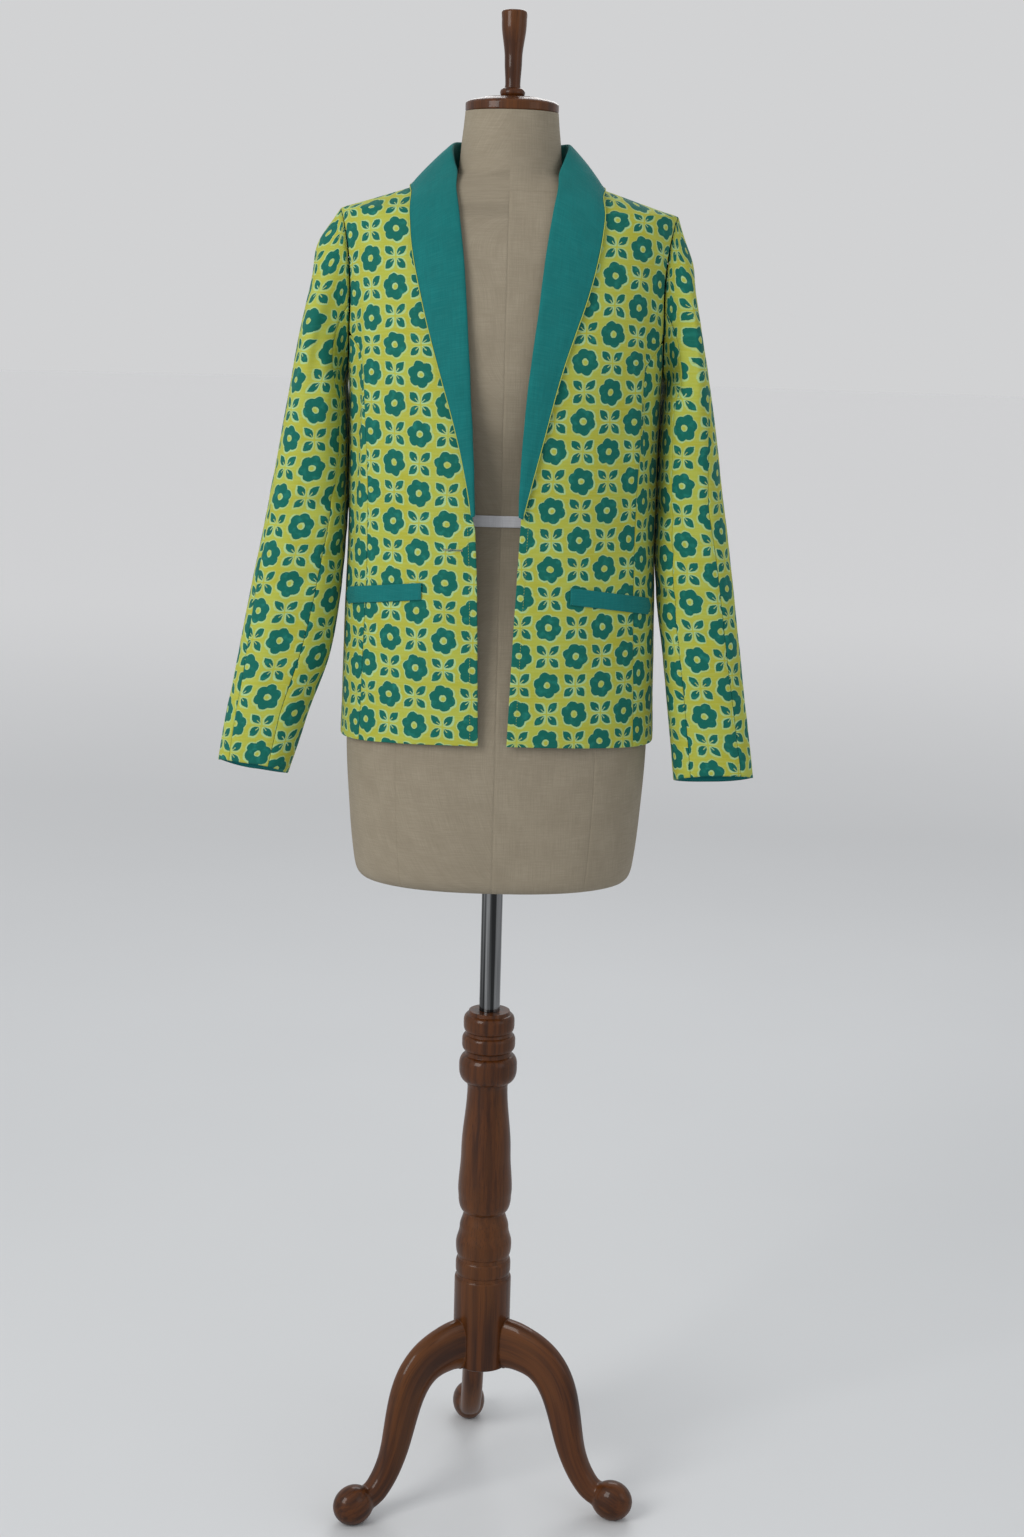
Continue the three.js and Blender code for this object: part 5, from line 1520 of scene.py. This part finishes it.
def build_stitches(t):
    given = t.nodes.new("NodeGroupInput").outputs
    last = t.nodes.new("NodeGroupOutput")
    line = put(t, "GeometryNodeMeshToCurve", {"Mesh": given["Line"]}).outputs[0]
    inputs = {"Curve": line, "Length": given["Spacing"]}
    even = put(t, "GeometryNodeResampleCurve", inputs, mode="LENGTH")
    tangent = put(t, "GeometryNodeInputTangent").outputs[0]
    turn = put(t, "FunctionNodeAlignRotationToVector", {"Vector": tangent}, axis="Z").outputs[0]
    bead = put(t, "GeometryNodeMeshUVSphere", {"Segments": 6, "Rings": 5, "Radius": 0.5}).outputs[0]
    sizes = {0: given["Thickness"], 1: given["Thickness"], 2: given["Length"]}
    size = put(t, "ShaderNodeCombineXYZ", sizes).outputs[0]
    vary = put(t, "FunctionNodeRandomValue", data_type="FLOAT")
    vary.inputs[2].default_value, vary.inputs[3].default_value = 0.88, 1.06
    t.links.new(given["Seed"], vary.inputs["Seed"])
    inputs = {0: size, "Scale": vary.outputs[1]}
    scaled = put(t, "ShaderNodeVectorMath", inputs, operation="SCALE").outputs[0]
    placed = put(t, "GeometryNodeInstanceOnPoints", {
        "Points": even.outputs[0], "Instance": bead, "Rotation": turn, "Scale": scaled,
    }).outputs[0]
    real = put(t, "GeometryNodeRealizeInstances", {"Geometry": placed}).outputs[0]
    smooth = put(t, "GeometryNodeSetShadeSmooth", {0: real}).outputs[0]
    inputs = {"Geometry": smooth, "Material": given["Thread"]}
    painted = put(t, "GeometryNodeSetMaterial", inputs).outputs[0]
    t.links.new(painted, last.inputs[0])


build_stitches(stitch_group)
SOCKETS = {
    item.name: item.identifier
    for item in stitch_group.interface.items_tree if item.item_type == "SOCKET"
}


def stitches(name, path, thread, spacing=3.2, length=2.3, thickness=0.42, seed=1):
    points = ((np.asarray(path) + POLE) / 1000).tolist()
    mesh = bpy.data.meshes.new(name + "_line")
    mesh.from_pydata(points, [(i, i + 1) for i in range(len(points) - 1)], [])
    line = add_object(name + "_line", mesh)
    modifier = line.modifiers.new("stitches", "NODES")
    modifier.node_group = stitch_group
    values = {
        "Spacing": spacing / 1000, "Length": length / 1000, "Thickness": thickness / 1000,
        "Seed": seed, "Thread": thread,
    }
    for label, value in values.items():
        modifier[SOCKETS[label]] = value
    sewn = evaluated_mesh(line)
    sewn.name = name
    if not sewn.materials:
        sewn.materials.append(thread)
    return add_piece(name, sewn)


print("stitch sockets:", sorted(SOCKETS))

# %% [markdown]
# Stitching runs along the open fronts, inside the collar's edge and across the ends of the welts,
# because those edges take the wear. A buttonhole lies across the wearer's right front, below the
# waist: two rows of close thread beside a slit.

# %% Sewing
sewing = {}
for word, side in (("left", 1), ("right", -1)):
    z_rows = np.linspace(970, 1236, 120)
    turn = side * (front_edge_turn(z_rows, side) + 2.4)
    path = cloth(turn, z_rows, 0.05)
    sewing[f"front_{word}"] = stitches(
        f"edge_stitching_{word}", path, mat_thread_lime, seed=3 + side
    )
    sewing[f"collar_{word}"] = stitches(
        f"collar_stitching_{word}", collars[word][3], mat_thread_teal,
        2.9, 2.1, 0.36, 7 + side,
    )
    for tag, at in zip(("inner", "outer"), WELTS[word][1:]):
        z_line = np.linspace(at[1] - 8.6, at[1] + 8.6, 12)
        x = at[0] + (2.2 if tag == "inner" else -4.8)
        path = cloth(side * turn_at_width(x, z_line), z_line, 2.05)
        sewing[f"welt_{tag}_{word}"] = stitches(
            f"welt_{tag}_{word}_stitching", path, mat_thread_teal, 2.2, 1.7, 0.38, 11
        )


def buttonhole():
    z_middle, first, last, count = 1185.5, -63.0, -42.0, 33
    ways = ((-1.15, 1.15), (1.15, -1.15))
    path = np.array([
        (x, z_middle + off)
        for k, x in enumerate(np.linspace(first, last, count)) for off in ways[k % 2]
    ])
    turn = -turn_at_width(np.abs(path[:, 0]), path[:, 1])
    lips = cloth(turn, path[:, 1], 0.08)
    rows = tube("buttonhole_thread", lips, 0.16, mat_thread_ecru, sides=5)
    slit_x = np.linspace(first + 1, last - 1, 24)
    slit = cloth(-turn_at_width(np.abs(slit_x), z_middle), np.full(24, z_middle), 0.22)
    cut = tube("buttonhole_slit", slit, 0.22, mat_lining, sides=6)
    return rows, cut


holes = buttonhole()
print("sewn lines:", len(sewing), "buttonhole pieces:", len(holes))

# %% [markdown]
# ## Cloth sizes
# Cloth is cut from a flat roll, so the size each sheet was cut to is worked out and printed. It is
# read from the flat coordinates of the piece: the part that shows, without the allowances.
# flat coordinates of the piece: the part that shows, without the allowances.

def cut_size(flat):
    """Width, height and area of flat cloth, in metres."""
    u, v = flat[..., 0], flat[..., 1]
    across, along = np.diff(flat, axis=1)[:-1], np.diff(flat, axis=0)[:, :-1]
    cells = np.abs(np.einsum("...i,...i->...", across, along[..., ::-1] * [1, -1]))
    return (float(np.ptp(u)) / 1000, float(np.ptp(v)) / 1000), float(cells.sum()) / 1e6


sizes = {}


def declare(piece, flat):
    size, area = cut_size(flat)
    area = min(max(area, 0.3 * size[0] * size[1]), size[0] * size[1])
    sizes[piece.name] = [round(size[0], 3), round(size[1], 3), round(area, 4)]


for name, (piece, flat) in body.items():
    extra = [sewing[name]] if name in sewing else []
    if name == "front_right":
        extra += list(holes)
    declare(piece, flat)
for piece, flat in arms.values():
    declare(piece, flat)
for word, (piece, length) in facings.items():
    size = (length / 1000, FACING_TALL / 1000)
    sizes[piece.name] = [round(size[0], 3), size[1], round(size[0] * size[1], 4)]
for word, (piece, line, flat, _) in collars.items():
    declare(piece, flat)
for word, (piece, flat) in welts.items():
    declare(piece, flat)
for name, size in sizes.items():
    print(name, size)

# %% [markdown]
# ## Studio
# The object stands on a plain pale floor. One large soft light at the front left gives the cloth its
# shading, as daylight from a window would. A weak one fills from the right, and one behind parts
# the shoulders from the ground.

# %% Floor, lights and world
floor_mesh = bpy.data.meshes.new("floor")
FLOOR_RADIUS, FLOOR_SIDES = 40, 64
angles = np.linspace(0, math.tau, FLOOR_SIDES + 1)[:-1]
ring = [(FLOOR_RADIUS * math.cos(a), FLOOR_RADIUS * math.sin(a), 0) for a in angles]
floor_mesh.from_pydata(ring, [], [list(range(FLOOR_SIDES))])
floor = add_object("floor", floor_mesh)
floor_material, t, shader = new_material("studio_floor", 0.5, gloss=0.3)
place = put(t, "ShaderNodeTexCoord").outputs["Object"]
reach = put(t, "ShaderNodeVectorMath", {0: place}, operation="LENGTH").outputs["Value"]
near = blend_color(t, noise(t, place, 1.3, 3.0), (0.6, 0.615, 0.63, 1), (0.64, 0.655, 0.67, 1))
pale = blend_color(t, ease(t, reach, 1.0, 9.0), near, (0.985, 0.985, 0.99, 1))
t.links.new(pale, shader.inputs["Base Color"])
floor_mesh.materials.append(floor_material)


def soft_light(name, place, target, size, watts, color):
    lamp = bpy.data.lights.new(name, "AREA")
    lamp.shape, lamp.size, lamp.size_y = "RECTANGLE", size[0], size[1]
    lamp.energy, lamp.color = watts, color
    item = add_object(name, lamp)
    item.location = place
    item.rotation_euler = (Vector(target) - Vector(place)).to_track_quat("-Z", "Y").to_euler()


soft_light("key", (-2.3, -2.3, 2.6), (0, 0, 1.2), (1.6, 2.0), 66, (1.0, 0.985, 0.96))
soft_light("fill", (2.4, -1.6, 1.9), (0, 0, 1.1), (1.4, 1.8), 5, (0.93, 0.97, 1.0))
soft_light("back", (0.4, 2.4, 2.6), (0, 0, 1.3), (1.8, 1.2), 22, (1.0, 1.0, 1.0))
world = bpy.data.worlds.new("studio")
scene.world = world
world.use_nodes = True
background = world.node_tree.nodes["Background"].inputs
background["Color"].default_value = (0.82, 0.825, 0.835, 1)
background["Strength"].default_value = 0.78
scene.view_settings.view_transform = "Standard"
print("lights:", len(bpy.data.lights))

# %% Finish
bpy.context.view_layer.update()
